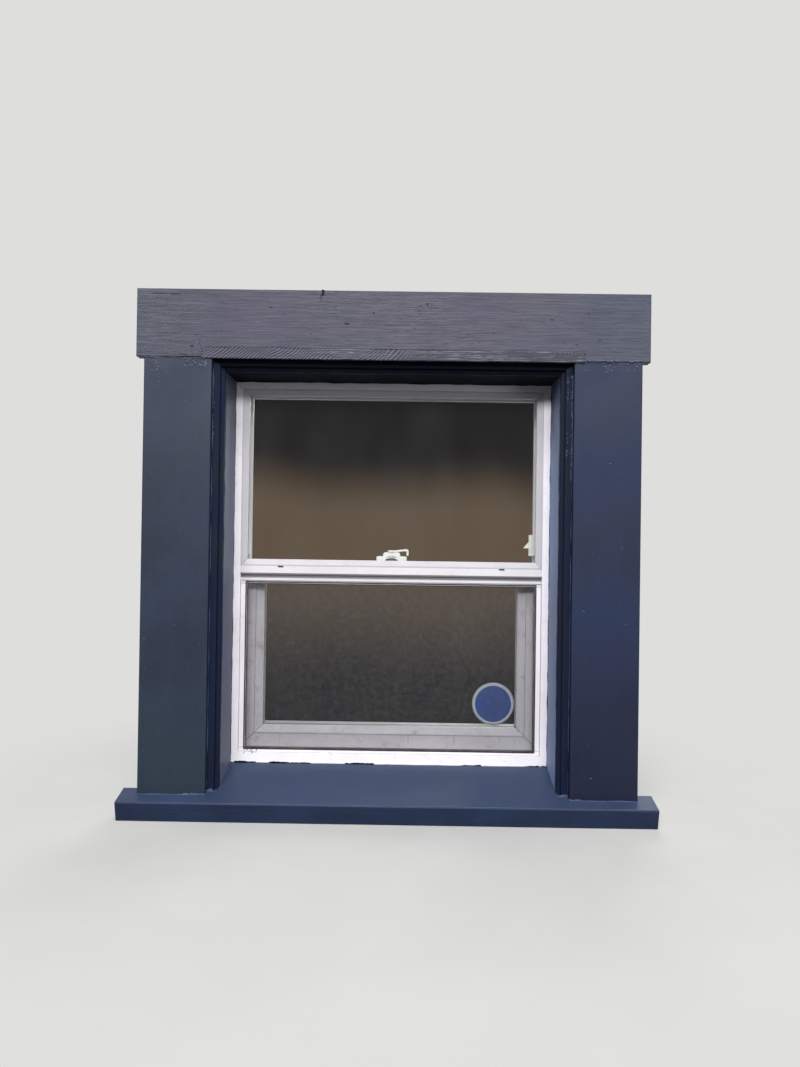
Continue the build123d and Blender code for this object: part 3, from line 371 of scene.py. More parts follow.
# A line of a width, full in its inner 0.3, where across times |X| plus up times Z comes to a place
def seam(tree, width, across, up, place):
    split = addNode(tree, "ShaderNodeSeparateXYZ", {"Vector": objectPlace(tree)}).outputs
    wide = maths(tree, "MULTIPLY", maths(tree, "ABSOLUTE", split["X"]), across)
    high = maths(tree, "MULTIPLY", split["Z"], up)
    return remap(tree, awayFrom(tree, maths(tree, "ADD", wide, high), place), width, width * 0.3)


# A band is the painted shade of a recess between a foot and a head height, sharp above and soft below, on
# faces that look outside. A seam's share makes it wider
def whiteVinyl(name, clean, dirty, nodes=(), dirt=0.3, seams=(), seed=0.0, seamShare=1.0, paintedShadeBand=None):
    tree = newMaterial(name)
    look = vinylLook
    clean, dirty = colour(*clean), colour(*dirty)
    shade = grains(tree, [look["shadeSize"]] * 3, seed, detail=3.0)
    blotch = grains(tree, [look["dirtSize"]] * 3, seed + 2, detail=6.0, roughness=0.65)
    specks = grains(tree, [look["speckSize"]] * 3, seed + 4, detail=2.0)
    runs = grains(tree, [look["runWidth"], look["runWidth"], look["runLength"]], seed + 6, detail=3.0)
    body = mixColour(tree, remap(tree, shade, *noiseRange, 0.0, look["shadeDirt"]), clean, dirty)
    body = mixColour(tree, remap(tree, blotch, *look["dirtEdges"], 0.0, dirt), body, dirty)
    ground = remap(tree, blotch, *look["speckGround"])
    spots = maths(tree, "MULTIPLY", remap(tree, specks, *look["speckEdges"]), ground)
    body = toned(tree, body, dirty, spots, look["speckDirt"] * dirt)
    body = mixColour(tree, remap(tree, runs, *look["runEdges"], 0.0, dirt), body, dirty)
    if paintedShadeBand is not None:
        foot, head, tone = paintedShadeBand
        height = axisPart(tree, objectPlace(tree), "Z")
        facing = remap(tree, axisPart(tree, surfaceNormal(tree), "Y"), *look["bandFacing"])
        below = remap(tree, height, head + look["bandHead"], head - look["bandHead"])
        above = remap(tree, height, *(foot + reach for reach in look["bandFoot"]))
        within = maths(tree, "MULTIPLY", maths(tree, "MULTIPLY", below, above), facing)
        body = mixColour(tree, within, body, colour(*tone))
    normal = bump(tree, blotch, look["dirtHeight"])
    if seams:
        lines = 0.0
        for line in seams:
            lines = maths(tree, "MAXIMUM", lines, seam(tree, look["seamWidth"] * seamShare, *line))
        body = toned(tree, body, colour(*look["seamTone"]), lines, look["seamShade"])
        normal = bump(tree, maths(tree, "MULTIPLY", lines, -1.0), look["seamDepth"], normal)
    least, most = (look["roughness"] + spread for spread in look["glossSpread"])
    gloss = remap(tree, blotch, *noiseRange, least, most)
    principled(tree, {"Base Color": body, "Roughness": gloss, "Normal": normal})
    dress(name, nodes)


# The mitre at a mitred rectangle's foot runs along |X| + Z, and at its head along |X| - Z
def cornerSeams(outer):
    low, high = outer
    return [(1, 1, high[0] + low[2]), (1, -1, high[0] - high[2])]


def outerBox(nodes):
    boxes = np.array([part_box(name) for name in nodes])
    return boxes[:, 0].min(0), boxes[:, 1].max(0)


upperBeads = ["upper_bead_left", "upper_bead_right", "upper_bead_head", "upper_bead_foot"]
sashBeads = ["sash_bead_left", "sash_bead_right", "sash_bead_head", "sash_bead_foot"]
screenBars = ["screen_left_bar", "screen_right_bar", "screen_top_bar", "screen_bottom_bar"]
frameBox, sashBeadBox = outerBox(["frame_left", "frame_right", "frame_head"]), outerBox(sashBeads)
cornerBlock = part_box("screen_left_bar")
vinyls = {
    "frameVinyl": {
        "clean": (250, 246, 251), "dirty": (160, 152, 150), "dirt": 0.2, "seed": 1.0,
        "nodes": ["frame_left", "frame_right", "frame_head", "frame_sill"],
        "seams": cornerSeams(frameBox)[1:],
    },
    # The rail and the upper beads are dimmer copies of the frame's white: painted shade
    "railVinylPaintedShade": {
        "clean": (222, 219, 224), "dirty": (150, 143, 142), "dirt": 0.2, "seed": 1.0,
        "nodes": ["meeting_rail"], "paintedShadeBand": (-0.0146, -0.0025, (108, 104, 108)),
    },
    "beadVinylPaintedShade": {
        "clean": (191, 188, 195), "dirty": (144, 136, 136), "dirt": 0.2, "seed": 4.0, "nodes": upperBeads,
        "seams": cornerSeams(outerBox(upperBeads)),
    },
    "sashBeadVinyl": {
        "clean": (240, 237, 244), "dirty": (132, 124, 130), "dirt": 0.6, "seed": 6.0, "nodes": sashBeads,
        "seams": cornerSeams(sashBeadBox) + [
            (1, 0, sashBeadBox[1][0]), (0, 1, sashBeadBox[0][2]), (0, 1, sashBeadBox[1][2]),
        ],
        "seamShare": 2.0,
    },
    "sashVinyl": {
        "clean": (240, 237, 244), "dirty": (126, 118, 124), "dirt": 0.65, "seed": 8.0,
        "nodes": ["left_stile", "right_stile", "sash_top_rail", "sash_bottom_rail"],
        "seams": cornerSeams(outerBox(["left_stile", "right_stile"]))[:1], "seamShare": 2.4,
    },
    "clipPlastic": {
        "clean": (240, 238, 236), "dirty": (170, 166, 160), "dirt": 0.15, "seed": 11.0,
        "nodes": ["right_takeout_clip", "balance_guides", "balance_anchors"],
    },
    "screenPaint": {
        "clean": (240, 236, 242), "dirty": (148, 140, 140), "dirt": 0.28, "seed": 14.0,
        "nodes": screenBars + ["screen_corners"],
        "seams": [(1, 0, -cornerBlock[1][0]), (0, 1, cornerBlock[0][2]), (0, 1, cornerBlock[1][2])],
    },
    "lockPaint": {
        "clean": (244, 242, 240), "dirty": (160, 156, 150), "dirt": 0.15, "seed": 17.0,
        "nodes": ["lock_housing", "lock_lever", "keeper"],
    },
    "caulkPaint": {"clean": (214, 212, 218), "dirty": (92, 94, 112), "dirt": 0.9, "seed": 21.0},
}
for vinylName, vinylPaint in vinyls.items():
    whiteVinyl(vinylName, **vinylPaint)
print("vinyl and lock dressed")

# Bare metal, rubber, cord and pile, each from one base colour broken up by noise
upDrawn, evenly = (0.0016, 0.0016, 0.016), (0.003, 0.003, 0.003)
bareLook = {"wornEdges": (0.35, 0.7), "glossSpread": (-0.08, 0.1), "lineHeight": 0.00004}
metals = {
    "channelMetal": {
        "base": (176, 176, 176), "worn": (150, 150, 148), "roughness": 0.35, "sizes": upDrawn,
        "nodes": ["left_balance_channel", "right_balance_channel"],
    },
    "spacerMetal": {
        "base": (150, 150, 148), "worn": (118, 118, 116), "roughness": 0.45, "sizes": evenly,
        "nodes": ["upper_spacer", "sash_spacer"],
    },
    "springSteel": {
        "base": (96, 94, 92), "worn": (60, 56, 52), "roughness": 0.45, "sizes": upDrawn,
        "nodes": ["balance_springs"],
    },
    "screwSteel": {
        "base": (170, 170, 168), "worn": (130, 126, 120), "roughness": 0.35, "sizes": evenly,
        "nodes": ["keeper_screws", "frame_screws", "lock_screws"],
    },
    "camMetal": {
        "base": (96, 96, 98), "worn": (62, 60, 58), "roughness": 0.45, "sizes": evenly, "nodes": ["lock_cam"],
    },
}
dullStuffs = {
    "splineRubber": {
        "base": (14, 14, 15), "worn": (34, 34, 36), "roughness": 0.6, "size": 0.002, "height": 0.0002,
        "nodes": ["screen_spline"],
    },
    "cordFibre": {
        "base": (196, 192, 180), "worn": (150, 146, 134), "roughness": 0.8, "size": 0.0008, "height": 0.0002,
        "nodes": ["left_balance_cord", "right_balance_cord"],
    },
    "sealPile": {
        "base": (110, 110, 112), "worn": (70, 70, 72), "roughness": 0.95, "size": 0.0006, "height": 0.0004,
        "nodes": ["sash_bottom_seal"],
    },
    "meshFibre": {
        "base": (50, 50, 53), "worn": (74, 74, 77), "roughness": 0.7, "size": 0.01, "height": 0.00001,
    },
    "archShade": {
        "base": (54, 54, 64), "worn": (78, 78, 90), "roughness": 0.5, "size": 0.004, "height": 0.00005,
    },
}


def plainMetal(name, base, worn, roughness, sizes, nodes):
    tree = newMaterial(name)
    lines = grains(tree, sizes)
    body = mixColour(tree, remap(tree, lines, *bareLook["wornEdges"]), colour(*base), colour(*worn))
    least, most = (roughness + spread for spread in bareLook["glossSpread"])
    principled(tree, {
        "Base Color": body, "Roughness": remap(tree, lines, *noiseRange, least, most), "Metallic": 1.0,
        "Normal": bump(tree, lines, bareLook["lineHeight"]),
    })
    dress(name, nodes)


def dullStuff(name, base, worn, roughness, size, height, nodes=()):
    tree = newMaterial(name)
    grain = grains(tree, [size] * 3, detail=5.0)
    body = mixColour(tree, remap(tree, grain, *bareLook["wornEdges"]), colour(*base), colour(*worn))
    principled(tree, {"Base Color": body, "Roughness": roughness, "Normal": bump(tree, grain, height)})
    dress(name, nodes)


for metalName, metalLook in metals.items():
    plainMetal(metalName, **metalLook)
for stuffName, stuffLook in dullStuffs.items():
    dullStuff(stuffName, **stuffLook)

# Glass: clear with a soft mirror that grows at grazing angles, and a thin film of dust
glassLook = {
    "tint": (0.975, 0.98, 0.975, 1.0), "mirrorTint": (0.9, 0.92, 0.94, 1.0), "mirror": 0.06, "ior": 1.45,
    "dust": (150, 146, 140), "patchSize": (0.11, 0.11, 0.25), "patchEdges": (0.35, 0.8),
    "filmSpread": (0.3, 1.6),
}
glassPanes = {
    "upperGlass": {"film": 0.012, "seed": 0.0, "nodes": ["upper_outer_pane", "upper_inner_pane"]},
    "sashGlass": {"film": 0.018, "seed": 5.0, "nodes": ["sash_outer_pane", "sash_inner_pane"]},
}


def windowGlass(name, film, seed, nodes):
    tree = newMaterial(name)
    look = glassLook
    clear = addNode(tree, "ShaderNodeBsdfTransparent", {"Color": look["tint"]})
    mirror = addNode(tree, "ShaderNodeBsdfGlossy", {"Color": look["mirrorTint"], "Roughness": 0.0})
    edge = addNode(tree, "ShaderNodeFresnel", {"IOR": look["ior"]}).outputs[0]
    pane = mixShader(tree, maths(tree, "MULTIPLY", edge, look["mirror"]), clear, mirror)
    patches = grains(tree, look["patchSize"], seed, detail=6.0, roughness=0.65)
    least, most = (film * share for share in look["filmSpread"])
    amount = remap(tree, patches, *look["patchEdges"], least, most)
    dust = addNode(tree, "ShaderNodeBsdfDiffuse", {"Color": colour(*look["dust"])})
    output(tree, mixShader(tree, amount, pane, dust))
    dress(name, nodes)


for glassName, paneLook in glassPanes.items():
    windowGlass(glassName, **paneLook)
print("metal, seals and glass dressed")


# Puts arrays of points and faces into a mesh object that rides on a body
def addPiece(name, points, faces, finish, body=None, slot=None, smooth=False, ridge=None):
    mesh = bpy.data.meshes.new(name)
    mesh.from_pydata(points.reshape(-1, 3), [], faces)
    mesh.polygons.foreach_set("use_smooth", np.full(len(mesh.polygons), smooth))
    mesh.materials.append(finishes[finish])
    if ridge is not None:
        mesh.attributes.new("ridge", "FLOAT", "POINT").data.foreach_set("value", ridge)
    mesh.update()
    piece = bpy.data.objects.new(name, mesh)
    bpy.context.scene.collection.objects.link(piece)
    if body:
        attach(piece, body)
    return piece


# Places of x, y and z, each a number or an array, as one array of points
def at(x, y, z):
    return np.stack(np.broadcast_arrays(x, y, z), axis=-1).astype(float)


# Marks of a noise field on a grid of cells, and how far each 1 of the seed moves it across and up
fieldMarks = {"across": 61, "up": 67, "seedAcross": 17.3, "seedUp": 9.1}


# Uneven values from -1 to 1: seeded marks on a grid of cells, blended smoothly between their corners
def unevenField(across, up, cellAcross, cellUp, seed):
    look = fieldMarks
    wideCount, highCount = look["across"], look["up"]
    marks = np.random.default_rng(seed).uniform(-1, 1, (wideCount, highCount))
    wide, high = np.broadcast_arrays(
        across / cellAcross + look["seedAcross"] * seed, up / cellUp + look["seedUp"] * seed
    )
    column, row = np.floor(wide).astype(int), np.floor(high).astype(int)
    shareWide, shareHigh = (share * share * (3 - 2 * share) for share in (wide - column, high - row))
    near, far = column % wideCount, (column + 1) % wideCount
    low, top = row % highCount, (row + 1) % highCount
    lower = marks[near, low] * (1 - shareWide) + marks[far, low] * shareWide
    upper = marks[near, top] * (1 - shareWide) + marks[far, top] * shareWide
    return lower * (1 - shareHigh) + upper * shareHigh


# Faces of a tube whose rings of points follow one another, with both ends capped
def tubeFaces(rings, around):
    first = np.arange(rings - 1)[:, None] * around + np.arange(around)[None]
    beside = np.arange(rings - 1)[:, None] * around + (np.arange(around)[None] + 1) % around
    sides = np.stack([first, first + around, beside + around, beside], axis=-1).reshape(-1, 4)
    return sides.tolist() + [list(range(around)), list(range((rings - 1) * around, rings * around))[::-1]]


# How a hand-laid tube varies: the cells of its coarse and fine wander and what each counts, the cells of its
# drift both ways, the least share of its radius squared at an end, and a direction that no path follows
tubeLook = {
    "wanderCells": (0.018, 0.005), "wanderShares": (0.6, 0.4), "driftCells": (0.03, 0.023), "leastEnd": 0.02,
    "aside": (0.31, 0.87, 0.38),
}


# A tube along a path: each ring is the path's point plus the radius times the turn's cosine across the path
# and its sine over it. The radius wanders by a share of itself and goes down at both ends with the root of
# the distance over the taper, and the path drifts by smooth noise
def tube(path, radius, around=8, step=0.0025, wander=0.0, drift=0.0, seed=0, taper=0.004):
    look = tubeLook
    path = np.array(path, float)
    runs = np.linalg.norm(np.diff(path, axis=0), axis=1)
    along = np.concatenate([[0], np.cumsum(runs)])
    count = max(int(along[-1] / step), 4)
    place = np.linspace(0, along[-1], count)
    line = np.stack([np.interp(place, along, path[:, axis]) for axis in range(3)], axis=1)
    heading = np.gradient(line, axis=0)
    heading /= np.linalg.norm(heading, axis=1)[:, None]
    across = np.cross(heading, look["aside"])
    across /= np.linalg.norm(across, axis=1)[:, None]
    over = np.cross(across, heading)

    def uneven(up, cell, later):
        return unevenField(place, up, cell, 1.0, seed + later)

    (coarse, fine), (sideways, upward) = look["wanderCells"], look["driftCells"]
    coarseShare, fineShare = look["wanderShares"]
    rough = coarseShare * uneven(0.0, coarse, 0) + fineShare * uneven(0.5, fine, 1)
    size = radius * (1 + wander * rough)
    ends = np.minimum(place, along[-1] - place)
    size = size * np.sqrt(np.clip(ends / taper, look["leastEnd"], 1)) if taper else size
    sway = drift * (across * uneven(0.0, sideways, 2)[:, None] + over * uneven(0.0, upward, 3)[:, None])
    turn = np.linspace(0, 2 * np.pi, around, endpoint=False)
    rings = (line + sway)[:, None] + size[:, None, None] * (
        across[:, None] * np.cos(turn)[None, :, None] + over[:, None] * np.sin(turn)[None, :, None]
    )
    return rings.reshape(-1, 3), tubeFaces(count, around)


# Tubes along several runs, each a path and a radius, made in the same way from seeds that count up
def tubes(runs, way, firstSeed=0):
    return [tube(path, radius, seed=firstSeed + number, **way) for number, (path, radius) in enumerate(runs)]


# Several surfaces as one: their points in one array, and each one's faces counted on from the last
def joined(surfaces):
    points, faces, start = [], [], 0
    for some, sides in surfaces:
        points.append(some)
        faces += [[corner + start for corner in face] for face in sides]
        start += len(some)
    return np.concatenate(points), faces


# Joins tubes into one smooth piece of the frame
def addTubes(name, surfaces, finish, slot):
    addPiece(name, *joined(surfaces), finish, "frame", slot, True)
    print(name, "laid:", len(surfaces), "tubes")


# Screen mesh: straight wires both ways. Lap is how far they pass each other, in half wires
screenWeave = {"pitch": 0.00145, "wire": 0.00025, "edge": 0.0004, "lap": 0.6}


# Square prisms with open ends: the corners are each wire's ends plus and minus half its width both ways
def wirePrisms(starts, ends, across, deep, half):
    corners = [across * a * half + deep * b * half for a, b in ((-1, -1), (1, -1), (1, 1), (-1, 1))]
    points = np.concatenate([
        np.stack([starts + corner for corner in corners], axis=1),
        np.stack([ends + corner for corner in corners], axis=1),
    ], axis=1)
    sides = np.array([(0, 1, 5, 4), (1, 2, 6, 5), (2, 3, 7, 6), (3, 0, 4, 7)])
    faces = (np.arange(len(starts))[:, None, None] * 8 + sides[None]).reshape(-1, 4)
    return points.reshape(-1, 3), faces


# Upright wires stand a pitch apart across the opening, and level ones lie a pitch apart behind them
def weaveScreen():
    look = screenWeave
    low, high = (np.array(corner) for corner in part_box("screen_mesh"))
    middle = (low[1] + high[1]) / 2
    pitch, edge, half = look["pitch"], look["edge"], look["wire"] / 2
    columns, rows = np.arange(low[0] + pitch, high[0], pitch), np.arange(low[2] + pitch, high[2], pitch)
    acrossX, acrossY, acrossZ = np.eye(3)
    front, back = middle - half * look["lap"], middle + half * look["lap"]
    upright, uprightFaces = wirePrisms(
        at(columns, front, low[2] + edge), at(columns, front, high[2] - edge), acrossX, acrossY, half
    )
    level, levelFaces = wirePrisms(
        at(low[0] + edge, back, rows), at(high[0] - edge, back, rows), acrossY, acrossZ, half
    )
    points = np.concatenate([upright, level])
    faces = np.concatenate([uprightFaces, levelFaces + len(upright)]).tolist()
    cloth = addPiece("screenCloth", points, faces, "meshFibre", "screen", "mesh_fibre")
    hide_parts("screen_mesh")
    print("screen woven with", len(columns) + len(rows), "wires")


weaveScreen()

# A dark tube round the screen's opening, just in front of the mesh: the spline's edge, and painted shade of
# the gap at the bars' inner edge
splineAndShadeEdge = {
    "radius": 0.0008, "forward": 0.0011, "outward": 0.0003,
    "way": {"around": 8, "step": 0.004, "wander": 0.25, "drift": 0.0001, "taper": 0},
}


# Each side runs from one corner of the opening to the next
def edgeSpline():
    look = splineAndShadeEdge
    left, right, top, foot = (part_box(bar) for bar in screenBars)
    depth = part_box("screen_mesh")[0][1] - look["forward"]
    out = look["outward"]
    low, high = foot[1][2] - out, top[0][2] + out
    near, far = left[1][0] - out, right[0][0] + out
    corners = [(near, depth, low), (far, depth, low), (far, depth, high), (near, depth, high)]
    sides = [([corners[number - 1], corners[number]], look["radius"]) for number in range(4)]
    surface = joined(tubes(sides, look["way"]))
    addPiece("splineAndShadeEdge", *surface, "splineRubber", "screen", "spline_rubber", True)
    print("spline edge laid")


edgeSpline()

# The surround's lines: half widths out from the middle, depths of the fronts, and heights
jambBox, casingBox, mouldingBox, headBox, stripBox = (
    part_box(name) for name in ("left_jamb", "left_casing", "left_stop_moulding", "head_casing", "head_strip")
)
innerHalf, edgeHalf, outerHalf = -jambBox[1][0], -casingBox[1][0], -casingBox[0][0]
jambFront, mouldingFront, casingFront = jambBox[0][1], mouldingBox[0][1], casingBox[0][1]
headFront, vinylFront, sillFront = headBox[0][1], frameBox[0][1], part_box("sill")[0][1]
mouldingHead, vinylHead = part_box("head_stop_moulding")[0][2], frameBox[1][2]
stepHalf = innerHalf + (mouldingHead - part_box("head_jamb")[0][2])
sillSlope = (jambBox[0][2] - casingBox[0][2]) / (jambFront - casingFront)

# Rough-sawn strip: its front is ploughed by curved saw marks that give way to ragged grain
sawnStrip = {
    "stepX": 0.0009, "rows": 46, "markPitch": 0.0087, "markDepth": 0.0012, "lean": 1.1, "bow": 17.0,
    "sway": 0.8, "swayCells": (0.03, 0.02), "patchiness": 0.25, "patchCells": (0.05, 0.02),
    "leastMarks": 0.05, "leftReach": 0.25, "leftFade": 0.04, "fanMiddle": -0.017, "fanWidth": 0.05,
    "grainDepth": 0.0006, "grainLength": 0.045, "grainWidth": 0.0011, "coarseShare": 0.65, "fineShare": 0.35,
    "finerAlong": 4, "finerUp": 1.6, "edge": 0.0014, "ragged": 0.0008, "raggedCell": 0.021,
    "crestPale": 1.5, "streakPale": 0.9, "plainPale": 1.5, "streakFrom": 0.25, "plainShift": 0.17,
    "swaySeed": 5, "patchSeed": 11, "grainSeed": 21, "fineSeed": 22, "raggedSeed": 31,
}


# Depth is 1 less the square of a zigzag of X less a leaning, bowed share of Z, times a strength that falls
# off to the right, plus smooth grain stretched along X and a rounding towards the rim. The foot is lifted by
# smooth noise. The ridge attribute is high on the crests, and on streaks of high grain where marks are weak,
# and paints them paler as painted highlights
def sawStrip():
    look = sawnStrip
    low, high = (np.array(corner) for corner in stripBox)
    across = np.linspace(low[0], high[0], int((high[0] - low[0]) / look["stepX"]))
    share = np.linspace(0, 1, look["rows"])
    x, up = np.meshgrid(across, share, indexing="ij")
    rise = up * (high[2] - low[2])
    bend = look["bow"] * rise**2 * np.sign(look["fanMiddle"] - x)
    sway = look["sway"] * unevenField(x, rise, *look["swayCells"], look["swaySeed"])
    phase = (x - look["lean"] * rise - bend) / look["markPitch"] + sway
    marks = 1 - np.abs(2 * (phase % 1) - 1) ** 2
    left = np.clip(1 - (x - low[0] - look["leftReach"]) / look["leftFade"], 0, 1)
    fan = np.exp(-(((x - look["fanMiddle"]) / look["fanWidth"]) ** 2))
    patches = look["patchiness"] * unevenField(x, rise, *look["patchCells"], look["patchSeed"])
    strength = np.clip(np.maximum(left, fan) + patches, look["leastMarks"], 1)
    length, width = look["grainLength"], look["grainWidth"]
    grain = look["coarseShare"] * unevenField(x, rise, length, width, look["grainSeed"])
    fine = unevenField(x, rise, length / look["finerAlong"], width / look["finerUp"], look["fineSeed"])
    grain = grain + look["fineShare"] * fine
    depth = look["markDepth"] * marks * strength + look["grainDepth"] * (0.5 + 0.5 * grain)
    plain = 1 - strength
    streaks = np.maximum(grain - look["streakFrom"] + look["plainShift"] * plain, 0)
    streaks = (look["streakPale"] + look["plainPale"] * plain) * streaks
    ridge = np.clip(look["crestPale"] * (1 - marks) ** 2 * strength + streaks, 0, 1)
    rim = np.minimum(np.minimum(rise, high[2] - low[2] - rise), np.minimum(x - low[0], high[0] - x))
    depth = depth + look["edge"] * (1 - np.clip(rim / look["edge"], 0, 1)) ** 2
    lift = 0.5 + 0.5 * unevenField(across, 0.0, look["raggedCell"], 1.0, look["raggedSeed"])
    lift = look["ragged"] * lift[:, None]
    z = low[2] + rise + lift * (1 - up)
    front = at(x, low[1] + depth, z)
    back = at(across[:, None], high[1], np.stack([z[:, 0], z[:, -1]], axis=1))
    columns, rows = x.shape
    index = np.arange(columns * rows).reshape(columns, rows)
    behind = np.arange(columns * 2).reshape(columns, 2) + columns * rows
    faces = np.concatenate([
        np.stack([index[:-1, :-1], index[1:, :-1], index[1:, 1:], index[:-1, 1:]], axis=-1).reshape(-1, 4),
        np.stack([index[1:, 0], index[:-1, 0], behind[:-1, 0], behind[1:, 0]], axis=-1),
        np.stack([index[:-1, -1], index[1:, -1], behind[1:, 1], behind[:-1, 1]], axis=-1),
        np.stack([behind[1:, 0], behind[:-1, 0], behind[:-1, 1], behind[1:, 1]], axis=-1),
    ]).tolist()
    faces.append(index[0].tolist() + [int(behind[0, 1]), int(behind[0, 0])])
    faces.append(index[-1, ::-1].tolist() + [int(behind[-1, 0]), int(behind[-1, 1])])
    points = np.concatenate([front.reshape(-1, 3), back.reshape(-1, 3)])
    ridge = np.concatenate([ridge.ravel(), np.zeros(2 * columns)])
    strip = addPiece("sawnStrip", points, faces, "stripPaint", "frame", "strip_paint", True, ridge)
    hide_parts("head_strip")
    print("strip sawn with", len(faces), "faces")


sawStrip()


# A point on the sill: its height is the jamb foot's plus the slope times the distance behind the jamb's front
def onSill(x, y):
    return (x, y, jambBox[0][2] + sillSlope * (y - jambFront))


# Paint that has run into the corners of the surround, and pale beads of painted highlight on edges: the
# beads' radii by place, and the sill's front edge
paintBeads = {
    "foot": 0.0015, "moulding": 0.0009, "vinylEdge": 0.001, "stripTop": 0.0006,
    "way": {"around": 7, "step": 0.002, "wander": 0.7, "drift": 0.0006},
    "firstSeeds": {"edges": 60, "dark": 75, "corners": 0},
}
sillNose = {
    "radius": 0.0009, "depth": 0.0019, "reach": 0.033,
    "way": {"around": 7, "step": 0.002, "wander": 0.5, "drift": 0.0002, "seed": 90},
}
# Ragged paint under the head casing's joints, from just outside the casing's edge
raggedPaint = {
    "radius": 0.0013, "inside": 1.03, "sides": (-1, 1, -1, 1), "firstSeed": 41,
    "way": {"around": 7, "step": 0.0016, "wander": 0.85, "drift": 0.0013},
}
# Painted shade in the gaps along the vinyl's foot as dark tubes, and caulk between them, from one X to
# another, a little in front
footGaps = {
    "radius": 0.0018, "forward": 0.0008, "way": {"around": 7, "step": 0.0011, "wander": 0.98, "drift": 0.001},
    "runs": ((-0.338, -0.289), (-0.262, -0.164), (-0.097, -0.03), (0.163, 0.203), (0.303, 0.344)),
}
footCaulk = {
    "radius": 0.0013, "forward": 0.0005, "way": {"around": 7, "step": 0.002, "wander": 0.6, "drift": 0.0006},
    "runs": ((-0.343, 0.161), (0.2, 0.298), (0.32, 0.343)),
}


# Straight runs and their radii: edges, pale paint beads with painted highlight, follow the foot's plan on the
# sill and the mouldings' outer arrises, dark ones the vinyl's edge, and corners the mouldings' steps and the
# strip's left end and top
def cornerRuns():
    look = paintBeads
    edges, dark, corners = [], [], []
    foot = onSill(stepHalf, jambFront)[2]

    def upright(x, y, head):
        return [(x, y, foot), (x, y, head)]

    for side in (-1, 1):
        plan = [
            (innerHalf, vinylFront), (innerHalf, jambFront), (stepHalf, jambFront), (stepHalf, mouldingFront),
            (edgeHalf, mouldingFront), (edgeHalf, casingFront), (outerHalf, casingFront), (outerHalf, 0.0),
        ]
        edges.append(([onSill(side * x, y) for x, y in plan], look["foot"]))
        edges.append((upright(side * edgeHalf, mouldingFront, vinylHead), look["moulding"]))
        dark.append((upright(side * innerHalf, vinylFront, vinylHead), look["vinylEdge"]))
        corners.append((upright(side * stepHalf, jambFront, mouldingHead), look["moulding"]))
    dark.append(([(side * innerHalf, vinylFront, vinylHead) for side in (-1, 1)], look["vinylEdge"]))
    corners.append(([(side * stepHalf, jambFront, mouldingHead) for side in (-1, 1)], look["moulding"]))
    (left, _, low), (right, _, high) = stripBox
    strip = [(left, headFront, low), (left, headFront, high), (right, headFront, high)]
    corners.append((strip, look["stripTop"]))
    runs = {"edges": edges, "dark": dark, "corners": corners}
    return {kind: tubes(runs[kind], look["way"], seed) for kind, seed in look["firstSeeds"].items()}


# The sill's front edge, a pale bead of painted highlight from one end of the sill to the other
def noseTube():
    look = sillNose
    path = [onSill(end * (outerHalf + look["reach"]), sillFront + look["depth"]) for end in (-1, 1)]
    return tube(path, look["radius"], **look["way"])


# Tubes on the sill in front of the vinyl, along each of the runs
def footTubes(look):
    depth = vinylFront - look["forward"]
    runs = [([onSill(start, depth), onSill(end, depth)], look["radius"]) for start, end in look["runs"]]
    return tubes(runs, look["way"])


# Two tubes across the top of each side casing, one over the other
def raggedTubes():
    look = raggedPaint
    joint = casingBox[1][2] - look["radius"]
    runs = [
        ([(side * edgeHalf * look["inside"], casingFront, joint), (side * outerHalf, casingFront, joint)],
         look["radius"])
        for side in look["sides"]
    ]
    return tubes(runs, look["way"], look["firstSeed"])


cornerBeads = cornerRuns()
addTubes("edgeHighlightBeads", cornerBeads["edges"] + [noseTube()], "edgePaint", "trim_paint")
addTubes("darkBeads", cornerBeads["dark"], "trimPaint", "trim_paint")
addTubes("footGaps", footTubes(footGaps), "shadePaint", "trim_paint")
addTubes("raggedPaint", raggedTubes(), "fleckPaint", "casing_paint")
addTubes("paintBeads", cornerBeads["corners"], "beadPaint", "trim_paint")
addTubes("footCaulk", footTubes(footCaulk), "caulkPaint", "frame_vinyl")

# Flecks of paint: their usual half lengths and radii, and where those on the sill's nose lie
flecks = {
    "halfLengths": (0.001, 0.004), "radii": (0.0005, 0.0012),
    "way": {"around": 6, "step": 0.0006, "wander": 0.5},
    "paintSeed": 12, "vinylSeed": 31, "noseReach": 0.03, "noseDrop": 0.0016, "noseDepth": 0.0016,
}


# Flecks are short, thin tubes at seeded places and slants, half sunk in what they lie on. A field is X from
# and to, Z from and to, depth, how many, the most slant, and a share of the usual size
def scatter(name, fields, seed, finish, slot):
    look = flecks
    draw = np.random.default_rng(seed)
    laid = []
    for left, right, low, high, depth, count, slant, share in fields:
        for x, z, half, turn, radius in zip(
            draw.uniform(left, right, count), draw.uniform(low, high, count),
            draw.uniform(*(length * share for length in look["halfLengths"]), count),
            draw.uniform(-slant, slant, count),
            draw.uniform(*(size * share for size in look["radii"]), count),
        ):
            reach = (half * math.cos(turn), half * math.sin(turn))
            path = [(x - reach[0], depth, z - reach[1]), (x + reach[0], depth, z + reach[1])]
            laid.append(tube(path, radius, taper=half, **look["way"]))
    addTubes(name, laid, finish, slot)


